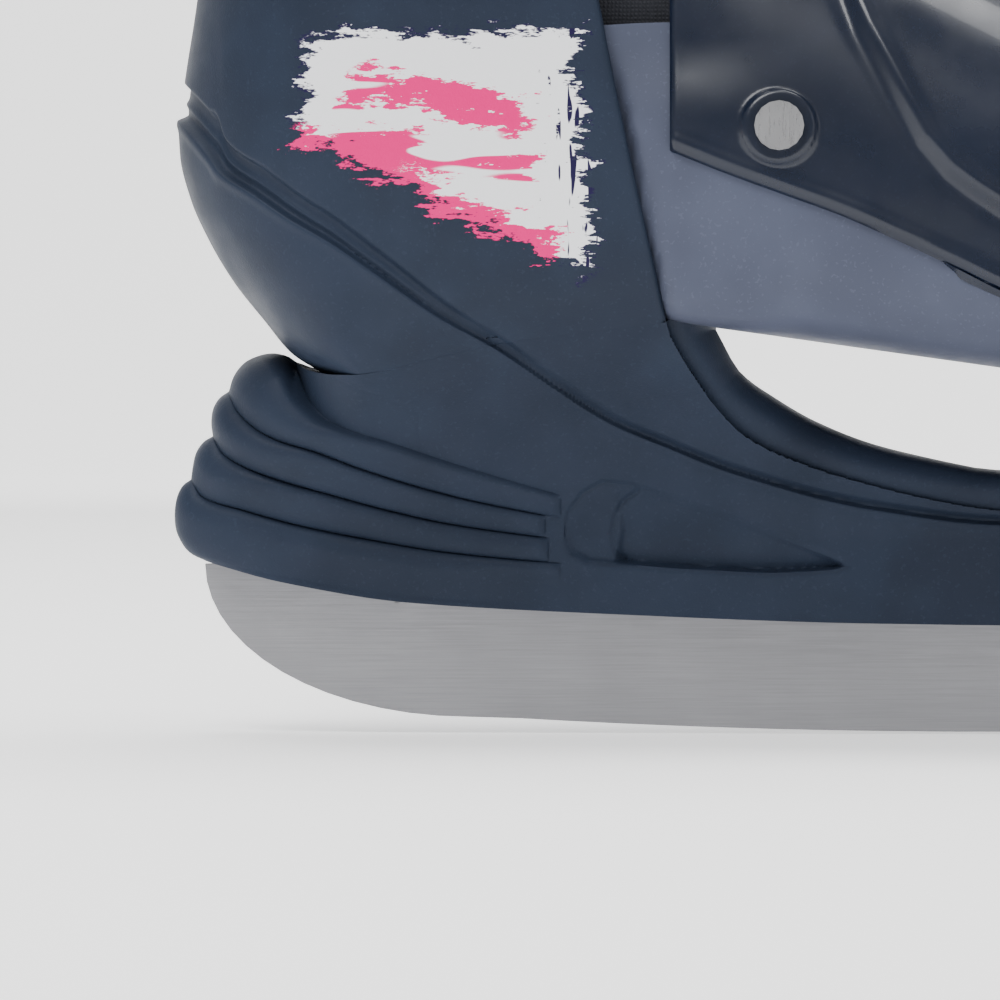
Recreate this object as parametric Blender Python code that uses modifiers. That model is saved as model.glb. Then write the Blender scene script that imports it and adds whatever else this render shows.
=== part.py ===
"""A hard-shell, size-adjustable ice skate for the right foot.

Heel towards -X, toe towards +X, outer side towards -Y, up +Z. The origin is the lowest point of the runner, at the
middle of its length. Outlines are in millimetres, with x counted from the back of the heel, and frame() turns them
into metres in the part's own frame.
"""

import math

import bmesh
import bpy
from mathutils import Matrix, Vector

MM = 0.001
MIDDLE_X = 150.0  # the runner's lowest point, from the back of the heel
GAP = 0.3  # between neighbours
HALF_TURN = math.pi

# Runner
BLADE_THICKNESS = 3.0
ROCKER_RADIUS = 1500.0
BLADE_REAR_X = 5.8
BLADE_TOE_X = 290.0
TANG_TOP_Z = 34.0
BLADE_FLAT = 4.0  # half length of the flat at the lowest point
BLADE_EAR_Z = 31.3
BLADE_REAR_ROUND = (49.2, 28.6)
BLADE_TOE_ROUND = (42.0, 27.2)
BOSS_RADIUS = 4.0
BOLT_RADIUS = 2.0
BOLT_X = (45.0, 246.0)
BOSS_TOP_Z = 44.0

# Holder
WINDOW_TOP = (101.2, 75.3)  # where the window's rear edge meets the sole
WINDOW_FRONT_X = 195.0
WINDOW_BAND = 8.0  # width of the rounded band round the window
PILLAR_FRONT_X = 268.0

# Sole: the plane that the front shell slides along
SOLE_X = 93.0
SOLE_Z = 76.7
SOLE_ANGLE = math.radians(8.0)
FLOOR_RISE = 6.2  # the front shell's floor over the sole plane
TAIL_RISE = 3.6  # its tail clears the rear shell's floor by this
SIZE_TRAVEL = 20.0
COVER_ENTRY = 19.0  # half width of the cover's opening over the tongue
COVER_REAR_X = 92.4
COVER_ENTRY_X = 196.0

# Shells
SHELL_THICKNESS = 3.0
FLARE = 0.055  # how fast the rear shell widens towards the toe
TAIL_X = 56.0
COVER_THICKNESS = 2.5
LINER_THICKNESS = 5.0
CUFF_CLEARANCE = 0.8
CUFF_THICKNESS = 3.0

# Joints
ANKLE = (58.0, 160.0)
RIVET_RADIUS = 3.0
RIVET_HEAD_RADIUS = 8.0
RIVET_FOOT_RADIUS = 5.5
SLIDE_BOLT_X = 212.0
BUTTON = (74.0, 104.0)
BUTTON_RADIUS = 7.0
BUTTON_PIN_RADIUS = 2.6
BUTTON_TIP_Y, BUTTON_LIP_Y, BUTTON_FACE_Y = 34.5, 40.2, 42.6

# Fasteners: shank radius, and head radius and height
SCREW_RADIUS = 2.0
SCREW_PLACE = (74.0, 15.0)  # along the sole, and to each side
BOLT_HEAD = (5.0, 4.0)
SCREW_HEAD = (4.0, 2.6)
SLIDE_HEAD = (4.6, 1.8)
SLIDE_RADIUS = 2.5
WASHER_RADIUS = 7.6
STRAP_RIVET_HEAD = (4.5, 1.5)
COVER_RIVET = (112.0, 112.0)

# Buckles and straps, in the buckle's own frame: along its strap, and above its base
BASE_LENGTH = 38.0
BASE_HALF = 12.0
BASE_THICKNESS = 1.7
EAR_WIDTH = 1.8
EAR_TOP = 10.4
LEVER_HALF = 9.8
PIN_CLEARANCE = 0.25
BUCKLE_PIN = (32.0, 7.6)
BUCKLE_PIN_RADIUS = 1.5
PAWL_PIN = (18.0, 5.3)
PAWL_PIN_RADIUS = 1.0
BASE_RIVET_X = 6.0
STRAP_LOW = 2.0
STRAP_HALF = 9.5
STRAP_THICKNESS = 1.8
CUFF_BUCKLE_X = 40.0
CUFF_BUCKLE_Z = 226.0
INSTEP_BUCKLE_X = 176.0
INSTEP_BUCKLE_Z = (89.0, 118.0)

RING = 10  # steps from the back of the heel to the front edge, on each side
ARCH = 24  # points round a section of the front shell

PLASTIC_DARK = (0.040, 0.055, 0.080, 1)
PLASTIC_SHELL = (0.055, 0.070, 0.105, 1)
PLASTIC_LIGHT = (0.110, 0.120, 0.160, 1)
PLASTIC_GLOSS = (0.028, 0.038, 0.062, 1)
STEEL = (0.60, 0.60, 0.60, 1)
LINER = (0.030, 0.032, 0.038, 1)
PINK = (0.72, 0.05, 0.28, 1)


# ---------------------------------------------------------------- shapes in numbers


def smooth(*points):
    """A curve through (position, value) points that never overshoots between them."""
    count = len(points)
    steps = [points[i + 1][0] - points[i][0] for i in range(count - 1)]
    slopes = [(points[i + 1][1] - points[i][1]) / steps[i] for i in range(count - 1)]
    tangents = [slopes[0]]
    for before, after in zip(slopes, slopes[1:]):
        tangents.append(0.0 if before * after <= 0 else 2 * before * after / (before + after))
    tangents.append(slopes[-1])

    def value(position):
        if position <= points[0][0]:
            return points[0][1]
        if position >= points[-1][0]:
            return points[-1][1]
        i = max(k for k in range(count - 1) if points[k][0] <= position)
        t = (position - points[i][0]) / steps[i]
        rest = 1 - t
        return (
            points[i][1] * (1 + 2 * t) * rest * rest
            + points[i + 1][1] * (3 - 2 * t) * t * t
            + steps[i] * (tangents[i] * t * rest * rest - tangents[i + 1] * t * t * rest)
        )

    return value


def between(low, high, share):
    return low + (high - low) * share


def rounded(share):
    """A quarter ellipse: 0 at 0, 1 from 1 on."""
    return math.sqrt(max(0.0, 1 - (1 - min(max(share, 0.0), 1.0)) ** 2))


def sole(x):
    return SOLE_Z + (SOLE_X - x) * math.tan(SOLE_ANGLE)


def on_sole(x, rise):
    """A point over the sole plane, square to it."""
    return (x + rise * math.sin(SOLE_ANGLE), 0, sole(x) + rise * math.cos(SOLE_ANGLE))


# Half width of the rear of the skate by height, from the rail up to the ankle
rear_half = smooth(
    (20, 8.5), (36, 9.0), (42, 10.5), (50, 14.5), (57, 18.5), (64, 23.5), (70, 28.5), (77, 33.0),
    (85, 35.3), (95, 36.6), (108, 37.5), (125, 37.5), (145, 37.2), (180, 37.2),
)
front_half = smooth((20, 8.5), (36, 9.0), (42, 11.0), (48, 17.0), (54, 25.0), (62, 32.0))
# Back of the heel cup, and how long its rounding is in plan
heel_back = smooth(
    (66.9, 28.0), (70.8, 22.0), (76.4, 17.3), (84.1, 11.2), (91.8, 6.6), (99.4, 3.2), (107.5, 1.2),
    (114, 0.9), (135, 3.8), (165, 8.5), (180, 10.0),
)
heel_round = smooth((66, 8), (72, 13), (80, 20), (90, 27), (105, 33), (120, 35), (180, 34))
shell_front = smooth((66, 93.4), (78.3, 91.5), (93.3, 88.2), (107.3, 85.1), (130, 80.5), (150, 77), (180, 74.5))
shell_top = smooth((0, 146), (0.3, 147), (0.45, 158), (0.6, 174), (0.8, 178), (1, 170))
# Where the heel cup meets the holder
seam = smooth((28, 66.9), (34, 66.9), (40, 67.6), (52, 70.6), (65, 73.2), (93, 76.7))


def heel_plan(side, z, inset, front=None):
    """A point of the rear outline at height z: side runs from -1 (outer front) over 0 (back) to 1 (inner front)."""
    along = abs(side)
    turn = 0.55
    centre = heel_back(z) + heel_round(z)
    half = rear_half(z) - inset
    front = shell_front(z) if front is None else front
    if along < turn:
        angle = along / turn * HALF_TURN / 2
        x = centre - (heel_round(z) - inset) * math.cos(angle)
        y = half * math.sin(angle)
    else:
        x = between(centre, front, (along - turn) / (1 - turn))
        y = half + FLARE * (x - centre) * (1 - smooth((110, 0), (140, 1))(z))
    return x, math.copysign(y, side)


def seam_point(side):
    """Where the cup's outline meets the seam, found by halving."""
    low, high = 66.0, 78.0
    for _ in range(40):
        z = (low + high) / 2
        x, y = heel_plan(side, z, 0.0)
        low, high = (z, high) if z < seam(x) else (low, z)
    return x, y, seam(x)


def sides():
    return [i / RING for i in range(-RING, RING + 1)]


# Front shell: half width, underside and crown along its length, and how square its sections are
toe_half = smooth(
    (56, 34.0), (93, 36.1), (112, 40.0), (135, 44.5), (160, 48.5), (190, 51.5), (215, 52.5), (240, 50.5), (260, 45.5),
    (275, 38.0), (286, 28.0), (293, 17.0), (296.4, 7.0),
)
toe_rise = smooth((240, 0), (258, 1.5), (272, 5.0), (284, 10.0), (292, 15), (296.4, 20))
toe_crown = smooth(
    (56, 178), (93, 170), (110, 160.5), (130, 150.5), (150, 141), (170, 132), (190, 124.5), (210, 118), (230, 112),
    (250, 105.5), (265, 98.5), (278, 91), (288, 83.5), (293, 79), (296.4, 75),
)
toe_waist = smooth((56, 26), (93, 24), (160, 20), (240, 17), (272, 14), (290, 8), (296.4, 3.5))


def toe_section(x, outset, floor=None, count=ARCH):
    """The closed section of the front shell at x, outset from its outer surface."""
    low = sole(x) + toe_rise(x) - outset if floor is None else floor
    crown = toe_crown(x) + outset
    middle = max(low + 2.0, sole(x) + toe_rise(x) + toe_waist(x))
    half = toe_half(x) + outset
    ring = []
    for i in range(count):
        angle = 2 * HALF_TURN * i / count - HALF_TURN / 2
        across, up = math.cos(angle), math.sin(angle)
        power = 2 / 2.35 if up > 0 else 2 / 4.6
        y = half * math.copysign(abs(across) ** power, across)
        reach = crown - middle if up > 0 else middle - low
        ring.append((x, y, middle + reach * math.copysign(abs(up) ** power, up)))
    return ring


# ---------------------------------------------------------------- building blocks


def frame(point):
    return Vector(((point[0] - MIDDLE_X) * MM, point[1] * MM, point[2] * MM))


def clear_scene():
    for obj in list(bpy.data.objects):
        bpy.data.objects.remove(obj, do_unlink=True)


def collection(name, hidden=False):
    made = bpy.data.collections.new(name)
    bpy.context.scene.collection.children.link(made)
    made.hide_render = hidden
    return made


def material(name, colour, roughness, metallic=0.0):
    made = bpy.data.materials.new(name)
    made.use_nodes = True
    shader = made.node_tree.nodes["Principled BSDF"]
    shader.inputs["Base Color"].default_value = colour
    shader.inputs["Roughness"].default_value = roughness
    shader.inputs["Metallic"].default_value = metallic
    made.diffuse_color = colour
    return made


def object_of(name, mesh, place, finish=None):
    obj = bpy.data.objects.new(name, mesh)
    place.objects.link(obj)
    if finish:
        mesh.materials.append(finish)
    mesh.shade_smooth()
    mesh.set_sharp_from_angle(angle=math.radians(35))
    return obj


def mesh_of(points, faces, name):
    mesh = bpy.data.meshes.new(name)
    mesh.from_pydata([frame(point) for point in points], [], faces)
    work = bmesh.new()
    work.from_mesh(mesh)
    bmesh.ops.remove_doubles(work, verts=work.verts, dist=1e-6)
    bmesh.ops.recalc_face_normals(work, faces=work.faces)
    if work.calc_volume(signed=True) < 0:
        bmesh.ops.reverse_faces(work, faces=work.faces)
    work.to_mesh(mesh)
    work.free()
    return mesh


def wall_faces(rows, columns, wrap):
    """The quads of a grid, joined round its columns where wrap is set."""
    faces = []
    for row in range(rows - 1):
        for column in range(columns if wrap else columns - 1):
            after = (column + 1) % columns
            low, high = row * columns, (row + 1) * columns
            faces.append((low + column, low + after, high + after, high + column))
    return faces


def mirrored_cap(start, columns):
    """A cap over a ring whose first half mirrors its second, ruled straight across."""
    faces = []
    for i in range(columns // 2):
        corners = [start + i, start + i + 1, start + columns - 2 - i, start + columns - 1 - i]
        faces.append(tuple(dict.fromkeys(corners)))
    return [face for face in faces if len(face) > 2]


def loft(name, rings, place, finish=None, ruled=True):
    """A closed solid through rings of points, all of one length."""
    columns = len(rings[0])
    faces = wall_faces(len(rings), columns, True)
    last = (len(rings) - 1) * columns
    if ruled:
        faces += mirrored_cap(0, columns) + mirrored_cap(last, columns)
    else:
        faces += [tuple(range(columns)), tuple(range(last, last + columns))]
    points = [point for ring in rings for point in ring]
    return object_of(name, mesh_of(points, faces, name), place, finish)


def sheet(name, grid, thickness, place, finish, inwards=True):
    """An open grid of points given a thickness."""
    points = [point for row in grid for point in row]
    mesh = bpy.data.meshes.new(name)
    mesh.from_pydata([frame(point) for point in points], [], wall_faces(len(grid), len(grid[0]), False))
    obj = object_of(name, mesh, place, finish)
    solid = obj.modifiers.new("thickness", "SOLIDIFY")
    solid.thickness = thickness * MM
    solid.offset = -1.0 if inwards else 1.0
    solid.use_even_offset = True
    return obj


def outline_mesh(name, outline, half, place, finish=None):
    """A flat side-view outline with a thickness of twice half across the skate, as a mesh."""
    curve = bpy.data.curves.new(name, "CURVE")
    curve.dimensions = "2D"
    curve.fill_mode = "BOTH"
    curve.extrude = half * MM
    spline = curve.splines.new("POLY")
    spline.points.add(len(outline) - 1)
    for point, (x, z) in zip(spline.points, outline):
        point.co = ((x - MIDDLE_X) * MM, z * MM, 0, 1)
    spline.use_cyclic_u = True
    guide = bpy.data.objects.new(name + "_curve", curve)
    guide.rotation_euler = (HALF_TURN / 2, 0, 0)
    place.objects.link(guide)
    bpy.context.view_layer.update()
    graph = bpy.context.evaluated_depsgraph_get()
    mesh = bpy.data.meshes.new_from_object(guide.evaluated_get(graph))
    mesh.transform(guide.matrix_world)
    bpy.data.objects.remove(guide, do_unlink=True)
    work = bmesh.new()
    work.from_mesh(mesh)
    bmesh.ops.remove_doubles(work, verts=work.verts, dist=1e-6)
    bmesh.ops.recalc_face_normals(work, faces=work.faces)
    work.to_mesh(mesh)
    work.free()
    return object_of(name, mesh, place, finish)


def cylinder(name, start, end, radius, place, finish=None, sides_round=16):
    """A round bar between two points, in the part's millimetres."""
    low, high = frame(start), frame(end)
    axis = high - low
    mesh = bpy.data.meshes.new(name)
    work = bmesh.new()
    bmesh.ops.create_cone(
        work, cap_ends=True, segments=sides_round, radius1=radius * MM, radius2=radius * MM, depth=axis.length,
    )
    turn = axis.to_track_quat("Z", "Y").to_matrix().to_4x4()
    bmesh.ops.transform(work, matrix=Matrix.Translation((low + high) / 2) @ turn, verts=work.verts)
    work.to_mesh(mesh)
    work.free()
    return object_of(name, mesh, place, finish)


def box(name, low, high, place, finish=None):
    mesh = bpy.data.meshes.new(name)
    work = bmesh.new()
    bmesh.ops.create_cube(work, size=1.0)
    start, end = frame(low), frame(high)
    size = end - start
    bmesh.ops.transform(
        work,
        matrix=Matrix.Translation((start + end) / 2) @ Matrix.Diagonal((size.x, size.y, size.z, 1)),
        verts=work.verts,
    )
    work.to_mesh(mesh)
    work.free()
    return object_of(name, mesh, place, finish)


def combine(obj, other, operation):
    step = obj.modifiers.new(operation.lower(), "BOOLEAN")
    step.operation = operation
    step.object = other
    step.solver = "EXACT"
    other.display_type = "WIRE"


def cut(obj, *cutters):
    for cutter in cutters:
        combine(obj, cutter, "DIFFERENCE")


def join(obj, *others):
    for other in others:
        combine(obj, other, "UNION")


def bevel(obj, width, segments=2, angle=40):
    step = obj.modifiers.new("edges", "BEVEL")
    step.width = width * MM
    step.segments = segments
    step.limit_method = "ANGLE"
    step.angle_limit = math.radians(angle)


# ---------------------------------------------------------------- runner and holder


def blade_outline():
    """The runner from the side: a round heel, a rockered edge, a round toe and a straight tang."""
    steps = 14
    rear, toe = BLADE_REAR_ROUND, BLADE_TOE_ROUND
    points = []
    for i in range(steps + 1):
        angle = HALF_TURN / 2 * i / steps
        x = BLADE_REAR_X + rear[0] * (1 - math.cos(angle))
        points.append((x, BLADE_EAR_Z - rear[1] * math.sin(angle)))
    for i in range(1, 20):
        x = between(BLADE_REAR_X + rear[0], BLADE_TOE_X - toe[0], i / 20)
        points.append((x, (x - MIDDLE_X) ** 2 / (2 * ROCKER_RADIUS)))
    for i in range(steps + 1):
        angle = HALF_TURN / 2 * (1 - i / steps)
        x = BLADE_TOE_X - toe[0] * (1 - math.cos(angle))
        points.append((x, BLADE_EAR_Z - toe[1] * math.sin(angle)))
    points = [(x, z) for x, z in points if abs(x - MIDDLE_X) > BLADE_FLAT]
    first_after = next(i for i, (x, _) in enumerate(points) if x > MIDDLE_X)
    points[first_after:first_after] = [(MIDDLE_X - BLADE_FLAT, 0.0), (MIDDLE_X + BLADE_FLAT, 0.0)]
    points += [(BLADE_TOE_X - 9, BLADE_EAR_Z), (BLADE_TOE_X - 11, TANG_TOP_Z)]
    points += [(BLADE_REAR_X + 12, TANG_TOP_Z), (BLADE_REAR_X + 9, BLADE_EAR_Z)]
    return points


def make_blade(parts, cutters, finish):
    blade = outline_mesh("blade", blade_outline(), BLADE_THICKNESS / 2, parts, finish)
    for x, end in zip(BOLT_X, ("rear", "front")):
        boss = cylinder(f"boss_{end}", (x, 0, TANG_TOP_Z - 10), (x, 0, BOSS_TOP_Z), BOSS_RADIUS, cutters)
        bore = cylinder(
            f"boss_bore_{end}", (x, 0, TANG_TOP_Z - 8), (x, 0, BOSS_TOP_Z + 5), BOLT_RADIUS + GAP, cutters
        )
        join(blade, boss)
        cut(blade, bore)


# The holder's outer edge at the back, from the seam down over the four ribs, and its lower edge
RIB_EDGE = [
    (24.4, 67.9), (21.4, 70.2), (19.0, 70.6), (16.5, 70.4), (13.2, 69.0), (10.9, 66.3), (10.1, 63.5),
    (8.2, 62.0), (7.0, 58.5), (7.2, 55.2), (5.2, 53.9), (3.6, 50.7), (3.2, 47.1),
    (1.5, 46.0), (0.3, 43.0), (0.0, 39.5), (0.8, 36.3), (2.8, 33.9), (5.6, 32.7),
]
LOWER_EDGE = smooth(
    (5.8, 31.9), (21.4, 28.0), (44.2, 24.4), (85.8, 22.1), (128.3, 20.6), (165, 20.2), (210, 21.2), (250, 23.4),
    (272, 26.6), (287, 31.5),
)
FRONT_EDGE = [(290.0, 33.5), (291.0, 37.0), (290.4, 41.0), (287.5, 45.0), (282.0, 48.2), (275.0, 50.0)]
WINDOW_REAR_Z = smooth(
    (101.2, 75.3), (105.8, 67.3), (112.3, 62.5), (119.9, 58.1), (130.7, 53.8), (141.5, 51.1), (152, 48.9),
)
WINDOW_FRONT_Z = smooth((152, 48.9), (170, 48.9), (182, 51.6), (190, 56.2), (195, 61.8))


def window_edge():
    rear = [(x, WINDOW_REAR_Z(x)) for x in (101.2, 103.4, 106.0, 109.0, 113.0, 118.0, 124.0, 131.0, 140.0, 150.0)]
    front = [(x, WINDOW_FRONT_Z(x)) for x in (162.0, 172.0, 180.0, 186.0, 190.5, 193.5, 195.0)]
    return rear + front


def along(points, share):
    """The point a share of the way along a line of points."""
    lengths = [math.dist(a, b) for a, b in zip(points, points[1:])]
    left = share * sum(lengths)
    for start, end, length in zip(points, points[1:], lengths):
        if left <= length:
            return tuple(between(a, b, left / length) for a, b in zip(start, end))
        left -= length
    return points[-1]


def nearest(point, line):
    """How far a side-view point is from a line of points."""
    best = math.inf
    for (ax, az), (bx, bz) in zip(line, line[1:]):
        dx, dz = bx - ax, bz - az
        share = ((point[0] - ax) * dx + (point[1] - az) * dz) / (dx * dx + dz * dz)
        share = min(max(share, 0.0), 1.0)
        best = min(best, math.dist(point, (ax + dx * share, az + dz * share)))
    return best


def holder_half(x, z, window):
    """Half width of the holder: rounded at both ends in plan and along the window."""
    back = smooth(*sorted((pz, px) for px, pz in RIB_EDGE[3:]))
    front = smooth((20, 287), (33.5, 290), (41, 290.4), (48.2, 282), (50.0, 275), (56, 268))
    half = between(rear_half(z), front_half(z), smooth((130, 0), (175, 1))(x))
    half *= rounded((x - back(z)) / 22) * rounded((front(z) - x) / 24)
    return max(0.5, half * between(0.28, 1, rounded(nearest((x, z), window) / WINDOW_BAND)))


def make_holder(parts, cutters, finish):
    window = window_edge()
    top_x = [seam_point(i / RING)[0] for i in range(RING + 1)] + [WINDOW_TOP[0]]
    columns = len(top_x)
    lower = [(x, LOWER_EDGE(x)) for x in (5.8, 14, 25, 38, 54, 72, 92, 114, 136, 158, 180, 200, 220, 240, 256,
                                          268, 278, 287)]
    outer = RIB_EDGE + lower + FRONT_EDGE
    # How far along the window's edge each outer point looks: the back faces its top, the rail runs level with it
    reach = smooth((0, 0.02), (len(RIB_EDGE), 0.28), (len(RIB_EDGE) + 8, 0.50), (len(RIB_EDGE) + 10, 0.66),
                   (len(RIB_EDGE) + 13, 0.84), (len(outer) - 1, 0.985))
    rows = [[(x, seam(x) - GAP) for x in top_x]]
    rows[0][-1] = WINDOW_TOP
    first, last = rows[0][0], rows[0][-1]
    dips = [z - between(first[1], last[1], (x - first[0]) / (last[0] - first[0])) for x, z in rows[0]]
    dipped_rows = 14
    for i, edge in enumerate(outer):
        facing = along(window, reach(i))
        sag = max(0.0, 1 - i / dipped_rows)
        row = []
        for dip, (x, _) in zip(dips, rows[0]):
            share = (x - first[0]) / (last[0] - first[0])
            row.append((between(edge[0], facing[0], share), between(edge[1], facing[1], share) + dip * sag))
        rows.append(row)
    pillar = [between(PILLAR_FRONT_X, WINDOW_FRONT_X, j / (columns - 1)) for j in range(columns)]
    rows.append([(x, sole(x) - GAP) for x in pillar])
    count = len(rows) * columns
    points = []
    for side in (-1, 1):
        points += [(x, side * holder_half(x, z, window), z) for row in rows for x, z in row]
    faces = wall_faces(len(rows), columns, False)
    faces += [tuple(count + i for i in reversed(face)) for face in faces]
    border = list(range(columns))
    border += [row * columns + columns - 1 for row in range(1, len(rows))]
    border += [count - 1 - i for i in range(1, columns)]
    border += [row * columns for row in range(len(rows) - 2, 0, -1)]
    for a, b in zip(border, border[1:] + border[:1]):
        faces.append((a, b, b + count, a + count))
    holder = object_of("blade_holder", mesh_of(points, faces, "blade_holder"), parts, finish)
    slot = box(
        "blade_slot", (BLADE_REAR_X - 0.4, -BLADE_THICKNESS / 2 - GAP, 10),
        (BLADE_TOE_X + 0.4, BLADE_THICKNESS / 2 + GAP, TANG_TOP_Z + GAP), cutters,
    )
    cut(holder, slot)
    for x, end in zip(BOLT_X, ("rear", "front")):
        hole = cylinder(f"bolt_hole_{end}", (x, 0, 15), (x, 0, 90), BOLT_RADIUS + GAP, cutters)
        pocket = cylinder(f"boss_pocket_{end}", (x, 0, 15), (x, 0, BOSS_TOP_Z + GAP), BOSS_RADIUS + GAP, cutters)
        cut(holder, hole, pocket)
    recess = cylinder("front_head_recess", (BOLT_X[1], 0, 48.5), (BOLT_X[1], 0, 60), 5.5, cutters)
    thread = cylinder("slide_thread", on_sole(SLIDE_BOLT_X, -17), on_sole(SLIDE_BOLT_X, 8), SLIDE_RADIUS + GAP,
                      cutters)
    cut(holder, recess, thread)
    for side, name in ((-1, "lateral"), (1, "medial")):
        x, y = SCREW_PLACE[0], SCREW_PLACE[1] * side
        cut(holder, cylinder(f"screw_pilot_{name}", (x, y, 58), (x, y, 90), SCREW_RADIUS + GAP, cutters))


def make_headed(name, parts, cutters, finish, top, tip, head, shank):
    """A fastener: head (radius, height) below top, shank radius down to tip."""
    direction = (Vector(tip) - Vector(top)).normalized()
    under = Vector(top) + direction * head[1]
    body = cylinder(name, top, under, head[0], parts, finish)
    stem = cylinder(name + "_stem", under - direction * head[1] / 2, tip, shank, cutters)
    socket = cylinder(name + "_socket", Vector(top) - direction * 2, Vector(top) + direction * head[1] * 0.5,
                      head[0] * 0.42, cutters, sides_round=6)
    join(body, stem)
    cut(body, socket)


# ---------------------------------------------------------------- shells


def heel_ring(level, inset, top_extra=0.0, floor=None, front_extra=0.0):
    """A ring of the rear shell: level 0 lies on the seam or the floor, level 1 on its upper edge."""
    ring = []
    for side in sides():
        x, _, bottom = seam_point(side)
        if floor is not None:
            bottom = floor(x)
        z = between(bottom, shell_top(abs(side)) + top_extra, level)
        x, y = heel_plan(side, z, inset, shell_front(z) + front_extra)
        if floor is not None and level == 0:
            z = floor(x)
        ring.append((x, y, z))
    return ring


def heel_floor(x):
    return sole(x) + TAIL_RISE - GAP


def make_heel_shell(parts, cutters, finish):
    levels = (0, 0.04, 0.11, 0.2, 0.32, 0.46, 0.62, 0.8, 1)
    shell = loft("heel_shell", [heel_ring(level, 0.0) for level in levels], parts, finish)
    cavity_levels = (0, 0.08, 0.18, 0.32, 0.48, 0.7, 1)
    cavity = loft(
        "heel_cavity",
        [heel_ring(level, SHELL_THICKNESS, 6.0, heel_floor, 12.0) for level in cavity_levels],
        cutters,
    )
    cut(shell, cavity)
    rear = BOLT_X[0]
    x, z = BUTTON
    cut(
        shell,
        cylinder("button_bore", (x, 38.0, z), (x, 60, z), BUTTON_RADIUS + GAP, cutters),
        cylinder("button_pin_bore", (x, 20, z), (x, 60, z), BUTTON_PIN_RADIUS + GAP, cutters),
    )
    cut(
        shell,
        cylinder("rear_bolt_path", (rear, 0, 55), (rear, 0, 120), BOLT_RADIUS + GAP, cutters),
        cylinder("rear_head_recess", (rear, 0, 79.5), (rear, 0, 120), 5.5, cutters),
        cylinder("ankle_bore", (ANKLE[0], -60, ANKLE[1]), (ANKLE[0], 60, ANKLE[1]), RIVET_RADIUS + GAP, cutters),
    )
    for side, name in ((-1, "lateral"), (1, "medial")):
        x, y = SCREW_PLACE[0], SCREW_PLACE[1] * side
        cut(
            shell,
            cylinder(f"screw_path_{name}", (x, y, 60), (x, y, 100), SCREW_RADIUS + GAP, cutters),
            cylinder(f"screw_recess_{name}", (x, y, 79.2), (x, y, 100), SCREW_HEAD[0] + GAP, cutters),
        )


# Where the front shell's sections stand: its narrow tail inside the rear shell, then the part in view
TOE_STATIONS = (102, 112, 124, 137, 150, 165, 180, 196, 212, 228, 243, 256, 267, 276, 283.5, 289, 293, 295.4, 296.4)
TAIL_STATIONS = (TAIL_X, 68, 80, 92.9, 93.7)


def make_toe_shell(parts, cutters, finish):
    rings = []
    for x in TAIL_STATIONS + TOE_STATIONS:
        floor = sole(x) + TAIL_RISE if x < SOLE_X else None
        rings.append(toe_section(x, 0.0, floor))
    shell = loft("toe_shell", rings, parts, finish, ruled=False)
    inner = []
    for x in TAIL_STATIONS + TOE_STATIONS[:-3]:
        place = x - 10 if x == TAIL_X else x
        floor = sole(x) + max(FLOOR_RISE, toe_rise(x) + SHELL_THICKNESS)
        inner.append([(place, y, z) for _, y, z in toe_section(x, -SHELL_THICKNESS + 0.4, floor)])
    cavity = loft("toe_cavity", inner, cutters, ruled=False)
    open_top = outline_mesh(
        "toe_opening", [(40, 126), (93, 131), (130, 128), (165, 117), (196, 108), (228, 104), (240, 200), (40, 260)],
        80, cutters,
    )
    cut(shell, cavity, open_top)
    cut(shell, *slot_cutters(cutters))
    for side, name in ((-1, "lateral"), (1, "medial")):
        cut(shell, cover_rivet_hole(side, name + "_inner", cutters))
    cut(shell, size_slot(cutters))
    return shell


def slot_cutters(cutters):
    """The through slot and the washer's recess in the front shell's floor, along the sole plane."""
    made = []
    for name, half, low in (("slide_slot", 3.0, -6.0), ("washer_slot", 8.4, 2.6)):
        back, front = SLIDE_BOLT_X - SIZE_TRAVEL - half - 1, SLIDE_BOLT_X + half + 1
        slot = outline_mesh(
            name,
            [(back, sole(back) + low), (front, sole(front) + low), (front, sole(front) + 14),
             (back, sole(back) + 14)],
            half, cutters,
        )
        made.append(slot)
    return made


def size_slot(cutters):
    """The slot that the size button's pin runs in, in the tail's inner side, along the sole plane."""
    half = BUTTON_PIN_RADIUS + 3 * GAP
    low, high = BUTTON[0] - SIZE_TRAVEL - half, BUTTON[0] + half
    slot = outline_mesh(
        "size_slot",
        [(x, BUTTON[1] + (BUTTON[0] - x) * math.tan(SOLE_ANGLE) + rise)
         for x, rise in ((low, -half), (high, -half), (high, half), (low, half))],
        10, cutters,
    )
    slot.location.y = 36 * MM
    return slot


def cover_line(x):
    """The cover's lower edge from the side."""
    return smooth((88, 109.5), (93.4, 107.3), (112.6, 99.8), (133.3, 91.2), (152.4, 81.6), (175, 72.5), (205, 67.5),
                  (240, 64), (275, 64), (300, 66))(x)


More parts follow.
